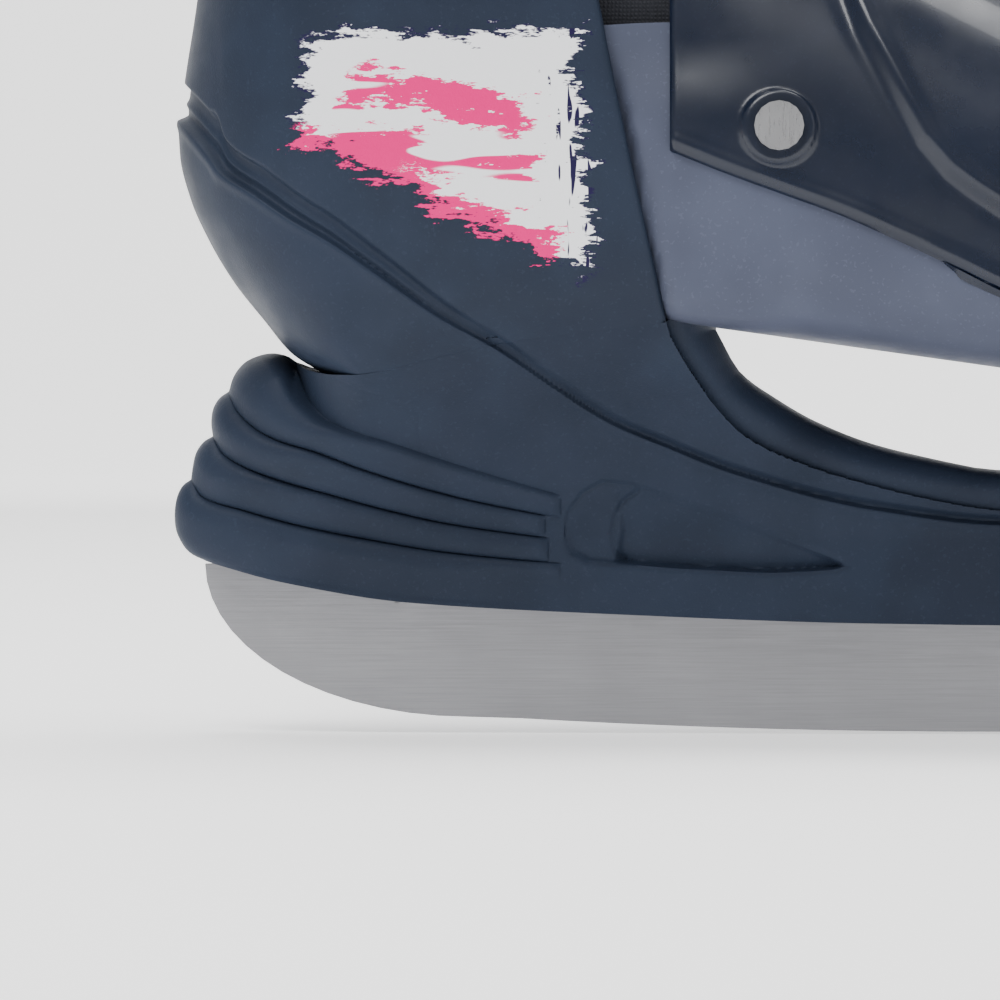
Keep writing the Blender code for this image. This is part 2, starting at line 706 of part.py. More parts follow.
def make_cover(parts, cutters, finish, dark, bright):
    spread = (COVER_REAR_X,) + TOE_STATIONS
    outside = []
    for x in spread:
        reach = GAP + COVER_THICKNESS
        stretch = x + reach * smooth((270, 0), (296.4, 1))(x)
        outside.append([(stretch, y, z) for _, y, z in toe_section(x, reach)])
    cover = loft("instep_cover", outside, parts, finish, ruled=False)
    inside = []
    for x in spread:
        place = x - 6 if x == spread[0] else x + 0.8 * smooth((272, 0), (290, 1))(x)
        inside.append([(place, y, z) for _, y, z in toe_section(x, GAP)])
    core = loft("cover_core", inside, cutters, ruled=False)
    edge = [(x, cover_line(x)) for x in (80, 93, 112, 133, 152, 175, 205, 240, 275, 310)]
    below = outline_mesh("cover_below", edge + [(310, 0), (80, 0)], 80, cutters)
    above = box("cover_above", (80, -80, 150), (130, 80, 220), cutters)
    entry = box("cover_entry", (80, -COVER_ENTRY, 95), (COVER_ENTRY_X, COVER_ENTRY, 220), cutters)
    entry_end = cylinder("cover_entry_end", (COVER_ENTRY_X, 0, 95), (COVER_ENTRY_X, 0, 220), COVER_ENTRY, cutters)
    pad, holes = make_instep_closure(parts, cutters, cover, dark, bright)
    join(cover, pad)
    cut(cover, below, above, entry, entry_end, core, *holes)
    for side, name in ((-1, "lateral"), (1, "medial")):
        cut(cover, cover_rivet_hole(side, name + "_outer", cutters))


def cover_rivet_hole(side, name, cutters):
    x, z = COVER_RIVET
    return cylinder(f"cover_hole_{name}", (x, 20 * side, z), (x, 60 * side, z), SCREW_RADIUS + GAP, cutters)


def section_half(x, z, outset):
    """Half width of the front shell at a height, outset from its surface."""
    middle = sole(x) + toe_rise(x) + toe_waist(x)
    share = min(1.0, abs(z - middle) / (toe_crown(x) + outset - middle))
    return (toe_half(x) + outset) * (1 - share ** 2.35) ** (1 / 2.35)


# ---------------------------------------------------------------- cuff, liner and tongue

leg_back = smooth((140, 4.5), (165, 7.0), (185, 9.5), (215, 11.0), (250, 8.0), (282, 4.0))
leg_half = smooth((140, 37.2), (180, 37.4), (215, 39.5), (250, 42.5), (282, 44.0))
leg_side_front = smooth((140, 78), (180, 79), (282, 80))
leg_front_reach = smooth((140, 25), (180, 27), (215, 31), (282, 36))


def leg_plan(side, z, outset, wrap):
    """A point of the shaft's outline: side -1 to 1 as for the heel, wrap is how far it turns round the front."""
    along_side = abs(side)
    rear_turn, front_turn = 0.42, 0.62
    half = leg_half(z) + outset
    centre = leg_back(z) + 34.0
    if along_side < rear_turn:
        angle = along_side / rear_turn * HALF_TURN / 2
        return centre - (34.0 + outset) * math.cos(angle), math.copysign(half * math.sin(angle), side)
    if along_side < front_turn:
        x = between(centre, leg_side_front(z), (along_side - rear_turn) / (front_turn - rear_turn))
        return x, math.copysign(half, side)
    angle = (along_side - front_turn) / (1 - front_turn) * wrap
    x = leg_side_front(z) + (leg_front_reach(z) + outset) * math.sin(angle)
    return x, math.copysign(half * math.cos(angle), side)


def leg_grid(lower, upper, outset, wrap, rows, steps=RING + 1):
    grid = []
    for row in range(rows + 1):
        line = []
        for i in range(-steps, steps + 1):
            side = i / steps
            z = between(lower(abs(side)), upper(abs(side)), row / rows)
            x, y = leg_plan(side, z, outset, wrap)
            line.append((x, y, z))
        grid.append(line)
    return grid


def make_cuff(parts, cutters, finish):
    lower = smooth((0, 159), (0.25, 157), (0.36, 148), (0.46, 142), (0.58, 143), (0.68, 160), (0.8, 184), (1, 202))
    upper = smooth((0, 268), (0.4, 263), (0.7, 256), (1, 249))
    outset = CUFF_CLEARANCE + CUFF_THICKNESS
    grid = leg_grid(lower, upper, outset, math.radians(62), 8)
    cuff = sheet("cuff", grid, CUFF_THICKNESS, parts, finish, inwards=False)
    bore = cylinder("cuff_bore", (ANKLE[0], -60, ANKLE[1]), (ANKLE[0], 60, ANKLE[1]), RIVET_RADIUS + GAP, cutters)
    cut(cuff, bore)
    origin_at(cuff, (ANKLE[0], 0, ANKLE[1]))
    return cuff


def make_liner(parts, cutters, finish):
    """The padded boot inside the shells, in three pieces that part at the moving joints."""
    inset = 9.4
    underside = FLOOR_RISE + 0.4
    top = smooth((0, 168), (0.5, 172), (0.75, 170), (1, 162))

    def ring(level, more, lift, front, extra, corner):
        made = []
        tuck = corner * max(0.0, 1 - level / 0.15) ** 2
        for side in sides():
            x, _ = heel_plan(side, 95.0, inset + more, front)
            z = between(sole(x) + underside + lift, top(abs(side)) + extra, level)
            x, y = heel_plan(side, z, inset + more + tuck, front)
            if level == 0:
                z = sole(x) + underside + lift
            made.append((x, y, z))
        return made

    levels = (0, 0.05, 0.15, 0.3, 0.5, 0.75, 1)
    liner = loft("liner_heel", [ring(level, 0.0, 1.0, 89.0, 0.0, 6.0) for level in levels], parts, finish)
    hollow_rings = [ring(level, LINER_THICKNESS, 3.4, 99.0, 6.0, 2.5) for level in levels]
    inside = loft("liner_heel_inside", hollow_rings, cutters)
    cut(liner, inside)

    spread = [89.5, 102, 116, 132, 150, 168, 186, 204, 222, 238, 252, 264, 273, 280, 285, 288]
    slim = SHELL_THICKNESS + 0.5
    outer = [toe_section(x, -slim, sole(x) + max(underside, toe_rise(x) + slim), 24) for x in spread]
    toe = loft("liner_toe", outer, parts, finish, ruled=False)
    inner = []
    for x in spread[:-3]:
        place = x - 6 if x == spread[0] else x
        floor = sole(x) + max(underside + 3.0, toe_rise(x) + slim + 4.0)
        inner.append([(place, y, z) for _, y, z in toe_section(x, -slim - LINER_THICKNESS, floor, 24)])
    hollow = loft("liner_toe_inside", inner, cutters, ruled=False)
    opening = outline_mesh(
        "liner_opening", [(60, 122), (93, 128), (130, 122), (165, 110), (196, 101), (204, 101), (210, 200), (60, 260)],
        80, cutters,
    )
    cut(toe, hollow, opening)

    lower = smooth((0, 184), (0.5, 183), (0.66, 184), (1, 196))
    upper = smooth((0, 279), (0.5, 274), (1, 265))
    ankle = leg_grid(lower, upper, -GAP, math.radians(52), 7)
    sheet("liner_ankle", ankle, LINER_THICKNESS, parts, finish, inwards=False)


def make_footbed(parts, finish):
    """A thin insole board along the sole plane."""
    half = smooth((24, 5), (28, 10), (36, 14), (60, 16.5), (93, 17.8), (115, 19.8), (140, 24.2), (190, 30.5),
                  (225, 31.5), (245, 27), (256, 18), (261, 8))
    low = FLOOR_RISE + 0.4 + 3.0 + 1.1
    rings = []
    for x in (24, 26, 30, 36, 46, 60, 80, 105, 135, 165, 195, 222, 238, 248, 255, 259, 261):
        rings.append([
            (x, -half(x), sole(x) + low), (x, half(x), sole(x) + low),
            (x, half(x), sole(x) + low + 3.0), (x, -half(x), sole(x) + low + 3.0),
        ])
    loft("footbed", rings, parts, finish, ruled=False)


def make_tongue(parts, finish):
    """Two curved pads: one on the instep, one on the shin."""
    crown = smooth((108, 169), (120, 156.5), (140, 144.5), (160, 134), (180, 124.5), (196, 117.5))
    lower = []
    for x in (111, 118, 127, 138, 150, 163, 176, 188, 195):
        row = []
        for i in range(-5, 6):
            across = i / 5
            row.append((x, 24 * across, crown(x) - 5.5 - 7.5 * across * across))
        lower.append(row)
    sheet("tongue_lower", lower, 6.0, parts, finish, inwards=False)
    front = smooth((196, 111), (215, 112.5), (250, 117), (300, 127))
    upper = []
    for z in (204, 216, 230, 244, 258, 272, 285):
        row = []
        for i in range(-5, 6):
            across = i / 5
            row.append((front(z) - 11.0 - 9.0 * across * across, 25 * across, z))
        upper.append(row)
    sheet("tongue_upper", upper, 6.0, parts, finish)


# ---------------------------------------------------------------- buckles and straps



def placed(obj, matrix, centre=(0, 0, 0)):
    """Moves a piece built in the buckle's own millimetres into the frame, its origin at centre."""
    away = Vector(centre) * MM
    obj.data.transform(Matrix.Translation(-away) @ Matrix.Translation(frame((0, 0, 0))).inverted())
    obj.matrix_world = matrix @ Matrix.Translation(away)


def origin_at(obj, point):
    """Puts a piece's origin on the joint that it moves on."""
    place = frame(point)
    obj.data.transform(Matrix.Translation(-place))
    obj.location = place


def make_buckle(name, matrix, parts, cutters, dark, bright):
    """A ratchet buckle: x along the strap, y across it, z away from the boot."""

    def across(part, point, half, radius, place, finish=None):
        x, z = point
        return cylinder(f"{name}_{part}", (x, -half, z), (x, half, z), radius, place, finish)

    base = box(
        f"{name}_buckle_base", (0, -BASE_HALF, 0), (BASE_LENGTH, BASE_HALF, BASE_THICKNESS), parts, bright,
    )
    for side in (-1, 1):
        ear = box(
            f"{name}_ear_{side}", (12, side * (BASE_HALF - EAR_WIDTH), 0.5), (37, side * BASE_HALF, EAR_TOP), cutters,
        )
        placed(ear, matrix)
        join(base, ear)
    past = BASE_HALF + 8
    pin_bore = across("pin_bore", BUCKLE_PIN, past, BUCKLE_PIN_RADIUS + PIN_CLEARANCE, cutters)
    pawl_bore = across("pawl_bore", PAWL_PIN, past, PAWL_PIN_RADIUS + PIN_CLEARANCE, cutters)
    rivet_bore = cylinder(
        f"{name}_rivet_bore", (BASE_RIVET_X, 0, -5), (BASE_RIVET_X, 0, 5), SCREW_RADIUS + GAP, cutters,
    )
    cut(base, pin_bore, pawl_bore, rivet_bore)
    pin = across("buckle_pin", BUCKLE_PIN, BASE_HALF + 0.6, BUCKLE_PIN_RADIUS, parts, bright)
    lever = outline_mesh(
        f"{name}_buckle_lever",
        [(-12, 9.4), (-11, 11.6), (6, 12.6), (20, 12.2), (31, 11.0), (34.3, 9.9), (35.2, 7.6), (34.3, 5.3), (32, 4.4),
         (29.8, 5.3), (28.0, 7.6), (25, 8.8), (14, 9.3), (2, 9.5)],
        LEVER_HALF, parts, dark,
    )
    cut(lever, pin_bore)
    pawl = outline_mesh(
        f"{name}_buckle_pawl",
        [(10.5, 6.0), (11.0, 7.6), (19, 6.9), (24.5, 5.4), (25, 4.2), (22, 4.3), (19.5, 4.15), (17, 4.3),
         (14.5, 5.4)],
        LEVER_HALF, parts, dark,
    )
    trunnion = across("trunnion", PAWL_PIN, BASE_HALF, PAWL_PIN_RADIUS, cutters)
    join(pawl, trunnion)
    rivet = cylinder(f"{name}_buckle_rivet", (BASE_RIVET_X, 0, 2.0), (BASE_RIVET_X, 0, 3.4), 4.0, parts, bright)
    stem = cylinder(f"{name}_rivet_stem", (BASE_RIVET_X, 0, -4.0), (BASE_RIVET_X, 0, 2.7), SCREW_RADIUS, cutters)
    join(rivet, stem)
    for obj in (base, pin_bore, pawl_bore, rivet_bore, pin, trunnion, rivet, stem):
        placed(obj, matrix)
    placed(lever, matrix, (BUCKLE_PIN[0], 0, BUCKLE_PIN[1]))
    placed(pawl, matrix, (PAWL_PIN[0], 0, PAWL_PIN[1]))


def axes_matrix(origin, along_strap, away):
    """A frame at a point in the part's millimetres, from its strap direction and its outward direction."""
    forward = Vector(along_strap).normalized()
    up = Vector(away).normalized()
    across = up.cross(forward)
    turn = Matrix((forward, across, up)).transposed().to_4x4()
    return Matrix.Translation(frame(origin)) @ turn


def make_cuff_closure(parts, cutters, cuff, dark, bright):
    """The buckle on the cuff's outer side and its ladder strap round the front."""
    z = CUFF_BUCKLE_Z
    slope = (leg_half(z + 10) - leg_half(z - 10)) / 20
    wall = leg_half(z) + CUFF_CLEARANCE + CUFF_THICKNESS
    matrix = axes_matrix((CUFF_BUCKLE_X, -wall - 0.6, z), (1, 0, 0), (0, -1, -slope))
    make_buckle("cuff", matrix, parts, cutters, dark, bright)
    hole = cylinder("cuff_buckle_hole", (CUFF_BUCKLE_X + BASE_RIVET_X, -60, z),
                    (CUFF_BUCKLE_X + BASE_RIVET_X, -30, z), SCREW_RADIUS + 2 * GAP, cutters)
    cut(cuff, hole)
    grid = []
    steps = 24
    straight_end, turn_end = 0.12, 0.76
    for edge in (-STRAP_HALF, 0.0, STRAP_HALF):
        row = []
        for i in range(steps + 1):
            share = i / steps
            clear = CUFF_CLEARANCE + CUFF_THICKNESS + between(0.4, 2.7, smooth((0.1, 0), (0.6, 1))(share))
            half = leg_half(z + edge) + clear
            front = leg_side_front(z)
            if share < straight_end:
                x, y = between(front - 14, front, share / straight_end), half
            elif share < turn_end:
                angle = (share - straight_end) / (turn_end - straight_end) * HALF_TURN
                x, y = front + (leg_front_reach(z) + clear) * math.sin(angle), half * math.cos(angle)
            else:
                x, y = between(front, front - 26, (share - turn_end) / (1 - turn_end)), -half
            row.append((x, y, z + edge))
        grid.append(row)
    strap = sheet("cuff_ladder_strap", grid, STRAP_THICKNESS, parts, dark)
    x = leg_side_front(z) - 8
    outside = leg_half(z) + CUFF_CLEARANCE + CUFF_THICKNESS + 0.4 + STRAP_THICKNESS
    bore = cylinder("cuff_strap_bore", (x, 30, z), (x, 60, z), 2.5, cutters)
    cut(cuff, bore)
    cut(strap, bore)
    make_headed("cuff_strap_rivet", parts, cutters, bright, (x, outside + 2.0, z), (x, outside - 5.2, z),
                STRAP_RIVET_HEAD, SCREW_RADIUS)


def instep_point(x, z, outset):
    return Vector((x, -section_half(x, z, outset), z))


def make_instep_closure(parts, cutters, cover, dark, bright):
    """The buckle on the front shell's outer side, on a raised pad, and its ladder strap over the tongue."""
    middle, reach = INSTEP_BUCKLE_X, 12.5
    outset = GAP + COVER_THICKNESS
    low, high = INSTEP_BUCKLE_Z
    start, end = instep_point(middle, low, outset), instep_point(middle, high, outset)
    upwards = (end - start).normalized()
    away = Vector((1, 0, 0)).cross(upwards).normalized()
    if away.y > 0:
        away = -away
    proud = max(
        (instep_point(middle + dx, low + (high - low) * k / 8, outset) - start).dot(away)
        for dx in (-reach, 0, reach) for k in range(9)
    )
    top = start + away * (proud + 0.4)
    pad = box("instep_pad", (0, -reach - 1, -9), (37, reach + 1, 0), cutters)
    bevel(pad, 1.5, 1)
    placed(pad, axes_matrix(top - upwards * 1.0, upwards, away))
    matrix = axes_matrix(top + away * GAP, upwards, away)
    make_buckle("instep", matrix, parts, cutters, dark, bright)
    hole = cylinder("instep_buckle_hole", (BASE_RIVET_X, 0, -30), (BASE_RIVET_X, 0, 5), SCREW_RADIUS + 2 * GAP,
                    cutters)
    placed(hole, matrix)

    height = proud + 0.4 + GAP + STRAP_LOW
    lateral = [start + upwards * d + away * height for d in (13, 22, 31, 39)]
    crown = toe_crown(middle) + outset
    medial = []
    for d in (30, 22, 12, 2):
        point = start + upwards * d + away * (proud + 0.5)
        medial.append(Vector((point.x, -point.y, point.z)))
    top_z = crown + 4.2
    over = [Vector((middle, y, top_z - 0.0085 * y * y)) for y in (-19, -10, 0, 10, 19)]
    route = lateral + over + medial
    lengths = [0.0]
    for a, b in zip(route, route[1:]):
        lengths.append(lengths[-1] + (b - a).length)
    ways = [smooth(*zip(lengths, [point[k] for point in route])) for k in (1, 2)]
    tilt = smooth((0, 0), (lengths[3], 0.0), (lengths[6], 1.0), (lengths[9], 0.0), (lengths[-1], 0.0))
    slope = (toe_crown(middle + 10) - toe_crown(middle - 10)) / 20
    grid = []
    for edge in (-STRAP_HALF, 0.0, STRAP_HALF):
        row = []
        for i in range(29):
            place = lengths[-1] * i / 28
            row.append((middle + edge, ways[0](place), ways[1](place) + edge * slope * tilt(place)))
        grid.append(row)
    strap = sheet("instep_ladder_strap", grid, STRAP_THICKNESS, parts, dark)
    rivet_at = start + upwards * 8 + away * (proud + 0.5)
    rivet_at.y = -rivet_at.y
    outward = Vector((0, -away.y, away.z))
    bore = cylinder("instep_strap_bore", rivet_at - outward * 12, rivet_at + outward * 8, 2.5, cutters)
    make_headed("instep_strap_rivet", parts, cutters, bright, rivet_at + outward * 3.6, rivet_at - outward * 3.0,
                STRAP_RIVET_HEAD, SCREW_RADIUS)
    cut(strap, bore)
    return pad, (hole, bore)


def make_fasteners(parts, cutters, bright):
    for x, top, end in zip(BOLT_X, (83.8, 52.8), ("rear", "front")):
        make_headed(f"blade_bolt_{end}", parts, cutters, bright, (x, 0, top), (x, 0, 28), BOLT_HEAD, BOLT_RADIUS)
    x, across = SCREW_PLACE
    for side, name in ((-1, "lateral"), (1, "medial")):
        y = across * side
        make_headed(f"holder_screw_{name}", parts, cutters, bright, (x, y, 82.2), (x, y, 60), SCREW_HEAD,
                    SCREW_RADIUS)
    make_headed("slide_bolt", parts, cutters, bright, on_sole(SLIDE_BOLT_X, 6.1), on_sole(SLIDE_BOLT_X, -14),
                SLIDE_HEAD, SLIDE_RADIUS)
    washer = cylinder("slide_washer", on_sole(SLIDE_BOLT_X, 2.9), on_sole(SLIDE_BOLT_X, 4.0), WASHER_RADIUS, parts,
                      bright)
    cut(washer, cylinder("washer_bore", on_sole(SLIDE_BOLT_X, 0), on_sole(SLIDE_BOLT_X, 8), SLIDE_RADIUS + GAP,
                         cutters))
    for side, name in ((-1, "lateral"), (1, "medial")):
        x, z = ANKLE
        skin = leg_half(z) + CUFF_CLEARANCE + CUFF_THICKNESS
        inner = rear_half(z) - SHELL_THICKNESS

        def round_part(part, start, end, radius, place, finish=None):
            return cylinder(f"{part}_{name}", (x, side * start, z), (x, side * end, z), radius, place, finish)

        head = round_part("cuff_rivet", skin + GAP, skin + 2.6, RIVET_HEAD_RADIUS, parts, bright)
        stem = round_part("cuff_rivet_stem", inner - 1.2, skin + 1, RIVET_RADIUS, cutters)
        foot = round_part("cuff_rivet_foot", inner - 2.0, inner - GAP, RIVET_FOOT_RADIUS, cutters)
        join(head, stem, foot)
        x, z = COVER_RIVET
        skin = max(section_half(x + dx, z + dz, GAP + COVER_THICKNESS) for dx in (-4, 0, 4) for dz in (-4, 0, 4))
        rivet = cylinder(f"cover_rivet_{name}", (x, side * (skin + GAP), z), (x, side * (skin + 2.0), z), 4.5, parts,
                         bright)
        join(rivet, cylinder(f"cover_rivet_stem_{name}", (x, side * (skin - 6.0), z), (x, side * (skin + 1), z), 2.0,
                             cutters))


def make_button(parts, cutters, colour, bright):
    """The size lock: a sprung button on the inner side whose pin runs in the tail's slot."""
    x, z = BUTTON
    button = cylinder("size_button", (x, BUTTON_LIP_Y, z), (x, BUTTON_FACE_Y, z), BUTTON_RADIUS, parts, colour)
    join(button, cylinder("button_pin", (x, BUTTON_TIP_Y, z), (x, BUTTON_FACE_Y - 1, z), BUTTON_PIN_RADIUS, cutters))
    bevel(button, 0.6, 1)
    origin_at(button, (x, BUTTON_LIP_Y, z))
    mesh = bpy.data.meshes.new("button_spring")
    profile = [(3.7, 39.9), (3.7, 39.5), (6.2, 38.3), (6.2, 38.8)]
    work = bmesh.new()
    made = [work.verts.new((radius * MM, 0, height * MM)) for radius, height in profile]
    work.edges.new((made[0], made[1]))
    work.edges.new((made[1], made[2]))
    work.edges.new((made[2], made[3]))
    work.edges.new((made[3], made[0]))
    work.to_mesh(mesh)
    work.free()
    spring = object_of("button_spring", mesh, parts, bright)
    turn = spring.modifiers.new("turn", "SCREW")
    turn.steps = turn.render_steps = 24
    turn.use_merge_vertices = True
    turn.merge_threshold = 0.00005
    turn.use_normal_flip = True
    spring.rotation_euler = (-HALF_TURN / 2, 0, 0)
    spring.location = frame((x, 0, z))


def main():
    clear_scene()
    parts = collection("ice_skate")
    cutters = collection("cutters", hidden=True)
    steel = material("steel", STEEL, 0.35, 1.0)
    dark = material("holder_plastic", PLASTIC_DARK, 0.55)
    shell = material("shell_plastic", PLASTIC_SHELL, 0.5)
    light = material("panel_plastic", PLASTIC_LIGHT, 0.45)
    gloss = material("gloss_plastic", PLASTIC_GLOSS, 0.2)
    padding = material("liner_fabric", LINER, 0.9)
    pink = material("pink_plastic", PINK, 0.4)

    make_blade(parts, cutters, steel)
    make_holder(parts, cutters, dark)
    make_heel_shell(parts, cutters, shell)
    make_toe_shell(parts, cutters, light)
    make_cover(parts, cutters, gloss, dark, steel)
    cuff = make_cuff(parts, cutters, shell)
    make_cuff_closure(parts, cutters, cuff, dark, steel)
    make_fasteners(parts, cutters, steel)
    make_button(parts, cutters, pink, steel)
    make_liner(parts, cutters, padding)
    make_footbed(parts, padding)
    make_tongue(parts, padding)


main()
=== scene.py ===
"""The looks of the ice skate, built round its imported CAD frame.

Shapes are worked out in millimetres, with x counted from the back of the heel, and placed() turns them into metres in
the part's frame. The outer side is -Y.
"""

import math

import bmesh
import bpy
import numpy as np
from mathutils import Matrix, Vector


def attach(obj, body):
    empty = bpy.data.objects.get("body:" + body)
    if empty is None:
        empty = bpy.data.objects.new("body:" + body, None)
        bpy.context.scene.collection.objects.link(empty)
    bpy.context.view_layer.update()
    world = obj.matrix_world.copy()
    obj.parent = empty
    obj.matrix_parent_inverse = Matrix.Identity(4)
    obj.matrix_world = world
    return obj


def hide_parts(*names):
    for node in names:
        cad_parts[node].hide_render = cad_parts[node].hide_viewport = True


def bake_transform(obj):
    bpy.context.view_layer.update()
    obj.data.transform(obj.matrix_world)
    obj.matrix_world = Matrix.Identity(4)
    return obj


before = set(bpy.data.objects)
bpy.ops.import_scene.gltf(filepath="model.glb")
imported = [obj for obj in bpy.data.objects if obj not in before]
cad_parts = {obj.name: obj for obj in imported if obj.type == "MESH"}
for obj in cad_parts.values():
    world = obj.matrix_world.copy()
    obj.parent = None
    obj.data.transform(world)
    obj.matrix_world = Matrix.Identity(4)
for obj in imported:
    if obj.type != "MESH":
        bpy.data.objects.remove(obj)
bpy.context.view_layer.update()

MM = 0.001
MIDDLE_X = 150.0
SOLE_X, SOLE_Z = 93.0, 76.7
SOLE_SLOPE = math.tan(math.radians(8.0))
FLARE = 0.055
WINDOW_TOP = (101.2, 75.9)
WINDOW_FRONT_X = 195.0
PILLAR_FRONT_X = 268.0
ATTRACTION = 1.4
SHELL_WALL = 2.9
COVER_GAP = 0.3
COVER_THICKNESS = 2.5
ENTRY_HALF = 19.0
ENTRY_END_X = 196.0
BUTTON_X, BUTTON_Z = 74.0, 104.0
INSTEP_X = 176.0
STRAP_HALF = 9.5
INSTEP_Z = (89.0, 118.0)


# ---------------------------------------------------------------- shapes in numbers


def curve(*points):
    """A curve through (position, value) points that never overshoots, over whole arrays."""
    xs = np.array([p[0] for p in points], float)
    ys = np.array([p[1] for p in points], float)
    steps = np.diff(xs)
    slopes = np.diff(ys) / steps
    tangents = np.empty(len(xs))
    tangents[0], tangents[-1] = slopes[0], slopes[-1]
    before, after = slopes[:-1], slopes[1:]
    product = before * after
    with np.errstate(divide="ignore", invalid="ignore"):
        tangents[1:-1] = np.where(product > 0, 2 * product / (before + after), 0.0)

    def value(position):
        p = np.clip(np.asarray(position, float), xs[0], xs[-1])
        i = np.clip(np.searchsorted(xs, p, side="right") - 1, 0, len(steps) - 1)
        t = (p - xs[i]) / steps[i]
        rest = 1 - t
        return (
            ys[i] * (1 + 2 * t) * rest * rest + ys[i + 1] * (3 - 2 * t) * t * t
            + steps[i] * (tangents[i] * t * rest * rest - tangents[i + 1] * t * t * rest)
        )

    return value


def step(low, high, value):
    """0 below low, 1 above high, smooth between."""
    t = np.clip((np.asarray(value, float) - low) / (high - low), 0, 1)
    return t * t * (3 - 2 * t)


def rounded(share):
    """A quarter circle: 0 at 0, 1 from 1 on."""
    return np.sqrt(np.clip(1 - (1 - np.clip(share, 0, 1)) ** 2, 0, 1))


def bump(value, width):
    return np.exp(-((value / width) ** 2))


def mix(low, high, share):
    return low + (high - low) * share


def sole(x):
    return SOLE_Z + (SOLE_X - x) * SOLE_SLOPE


def nearest(x, z, line):
    """Distance from points to a line of side-view points, and where on it that is."""
    best = np.full(np.shape(x), np.inf)
    near_x, near_z = np.array(x, float), np.array(z, float)
    for (ax, az), (bx, bz) in zip(line, line[1:]):
        dx, dz = bx - ax, bz - az
        share = np.clip(((x - ax) * dx + (z - az) * dz) / (dx * dx + dz * dz), 0, 1)
        px, pz = ax + share * dx, az + share * dz
        away = np.hypot(x - px, z - pz)
        closer = away < best
        best = np.where(closer, away, best)
        near_x, near_z = np.where(closer, px, near_x), np.where(closer, pz, near_z)
    return best, near_x, near_z


def to_line(x, z, line):
    return nearest(x, z, line)[0]


def inside(x, z, outline):
    """Which points lie inside a side-view outline."""
    within = np.zeros(np.shape(x), bool)
    for (ax, az), (bx, bz) in zip(outline, outline[1:] + outline[:1]):
        if az == bz:
            continue
        crosses = ((az > z) != (bz > z)) & (x < (bx - ax) * (z - az) / (bz - az) + ax)
        within ^= crosses
    return within


def dense(points, spacing):
    """A rounded line through points, with points about a spacing apart."""
    points = [np.array(p, float) for p in points]
    padded = [2 * points[0] - points[1]] + points + [2 * points[-1] - points[-2]]
    out = []
    for a, b, c, d in zip(padded, padded[1:], padded[2:], padded[3:]):
        count = max(1, int(round(np.linalg.norm(c - b) / spacing)))
        for k in range(count):
            t = k / count
            out.append(0.5 * (2 * b + (c - a) * t + (2 * a - 5 * b + 4 * c - d) * t * t
                              + (3 * b - 3 * c + d - a) * t ** 3))
    out.append(points[-1])
    return [tuple(p) for p in out]


def traced(line, places):
    """Side-view points along a curve."""
    return [(x, float(line(x))) for x in places]


rear_half = curve(
    (20, 8.5), (36, 9.0), (42, 10.5), (50, 14.5), (57, 18.5), (64, 23.5), (70, 28.5), (77, 33.0),
    (85, 35.3), (95, 36.6), (108, 37.5), (125, 37.5), (145, 37.2), (180, 37.2),
)
front_half = curve((20, 8.5), (36, 9.0), (42, 11.0), (48, 17.0), (54, 25.0), (62, 32.0))
heel_back = curve(
    (66.9, 28.0), (70.8, 22.0), (76.4, 17.3), (84.1, 11.2), (91.8, 6.6), (99.4, 3.2), (107.5, 1.2),
    (114, 0.9), (135, 3.8), (165, 8.5), (180, 10.0),
)
heel_round = curve((66, 8), (72, 13), (80, 20), (90, 27), (105, 33), (120, 35), (180, 34))
shell_front = curve((66, 93.4), (78.3, 91.5), (93.3, 88.2), (107.3, 85.1), (130, 80.5), (150, 77), (180, 74.5))
shell_top = curve((0, 146), (0.3, 147), (0.45, 158), (0.6, 174), (0.8, 178), (1, 170))
seam = curve((28, 66.9), (34, 66.9), (40, 67.6), (52, 70.6), (65, 73.2), (93, 76.7))

# The styling groove: its lower edge, and how wide the channel over it is
groove = curve(
    (-6, 120), (1, 114.2), (7.7, 107.1), (10.2, 103.8), (16.3, 99.9), (22.9, 95.5), (30.7, 91), (39.6, 84.9),
    (50.7, 77.2), (60.6, 71.6), (72.8, 63.3), (81.7, 57.8), (93, 53), (102.4, 49.2), (111.9, 46.2), (121.3, 43.6),
    (130.7, 41.7), (152.4, 39), (180, 38.4), (215, 41), (245, 47), (268, 56),
)
groove_width = curve((0, 4.6), (20, 4.4), (40, 3.4), (60, 2.2), (75, 1.7), (95, 1.3), (270, 1.1))


def above_groove(x, z):
    """How far a side-view point is over the groove's lower edge, square to it."""
    slope = (groove(x + 0.5) - groove(x - 0.5))
    return (z - groove(x)) / np.sqrt(1 + slope * slope)


def groove_depth(x, z):
    """How deep the surface lies under the lower layer's level."""
    s = above_groove(x, z)
    wide = groove_width(x)
    deep = mix(1.35, 1.9, step(1.4, 3.6, wide))
    panel = mix(0.6, 0.4, step(5, 18, s))
    channel = deep - 0.5 * step(2.2, 3.4, wide) * bump(s - 0.5 * wide, 0.55)
    depth = channel * step(-0.1, 0.75, s) * (1 - step(wide - 0.2, wide + 0.9, s))
    depth = depth + panel * step(wide - 0.2, wide + 0.9, s)
    return depth - 0.32 * bump(s + 0.6, 0.75)


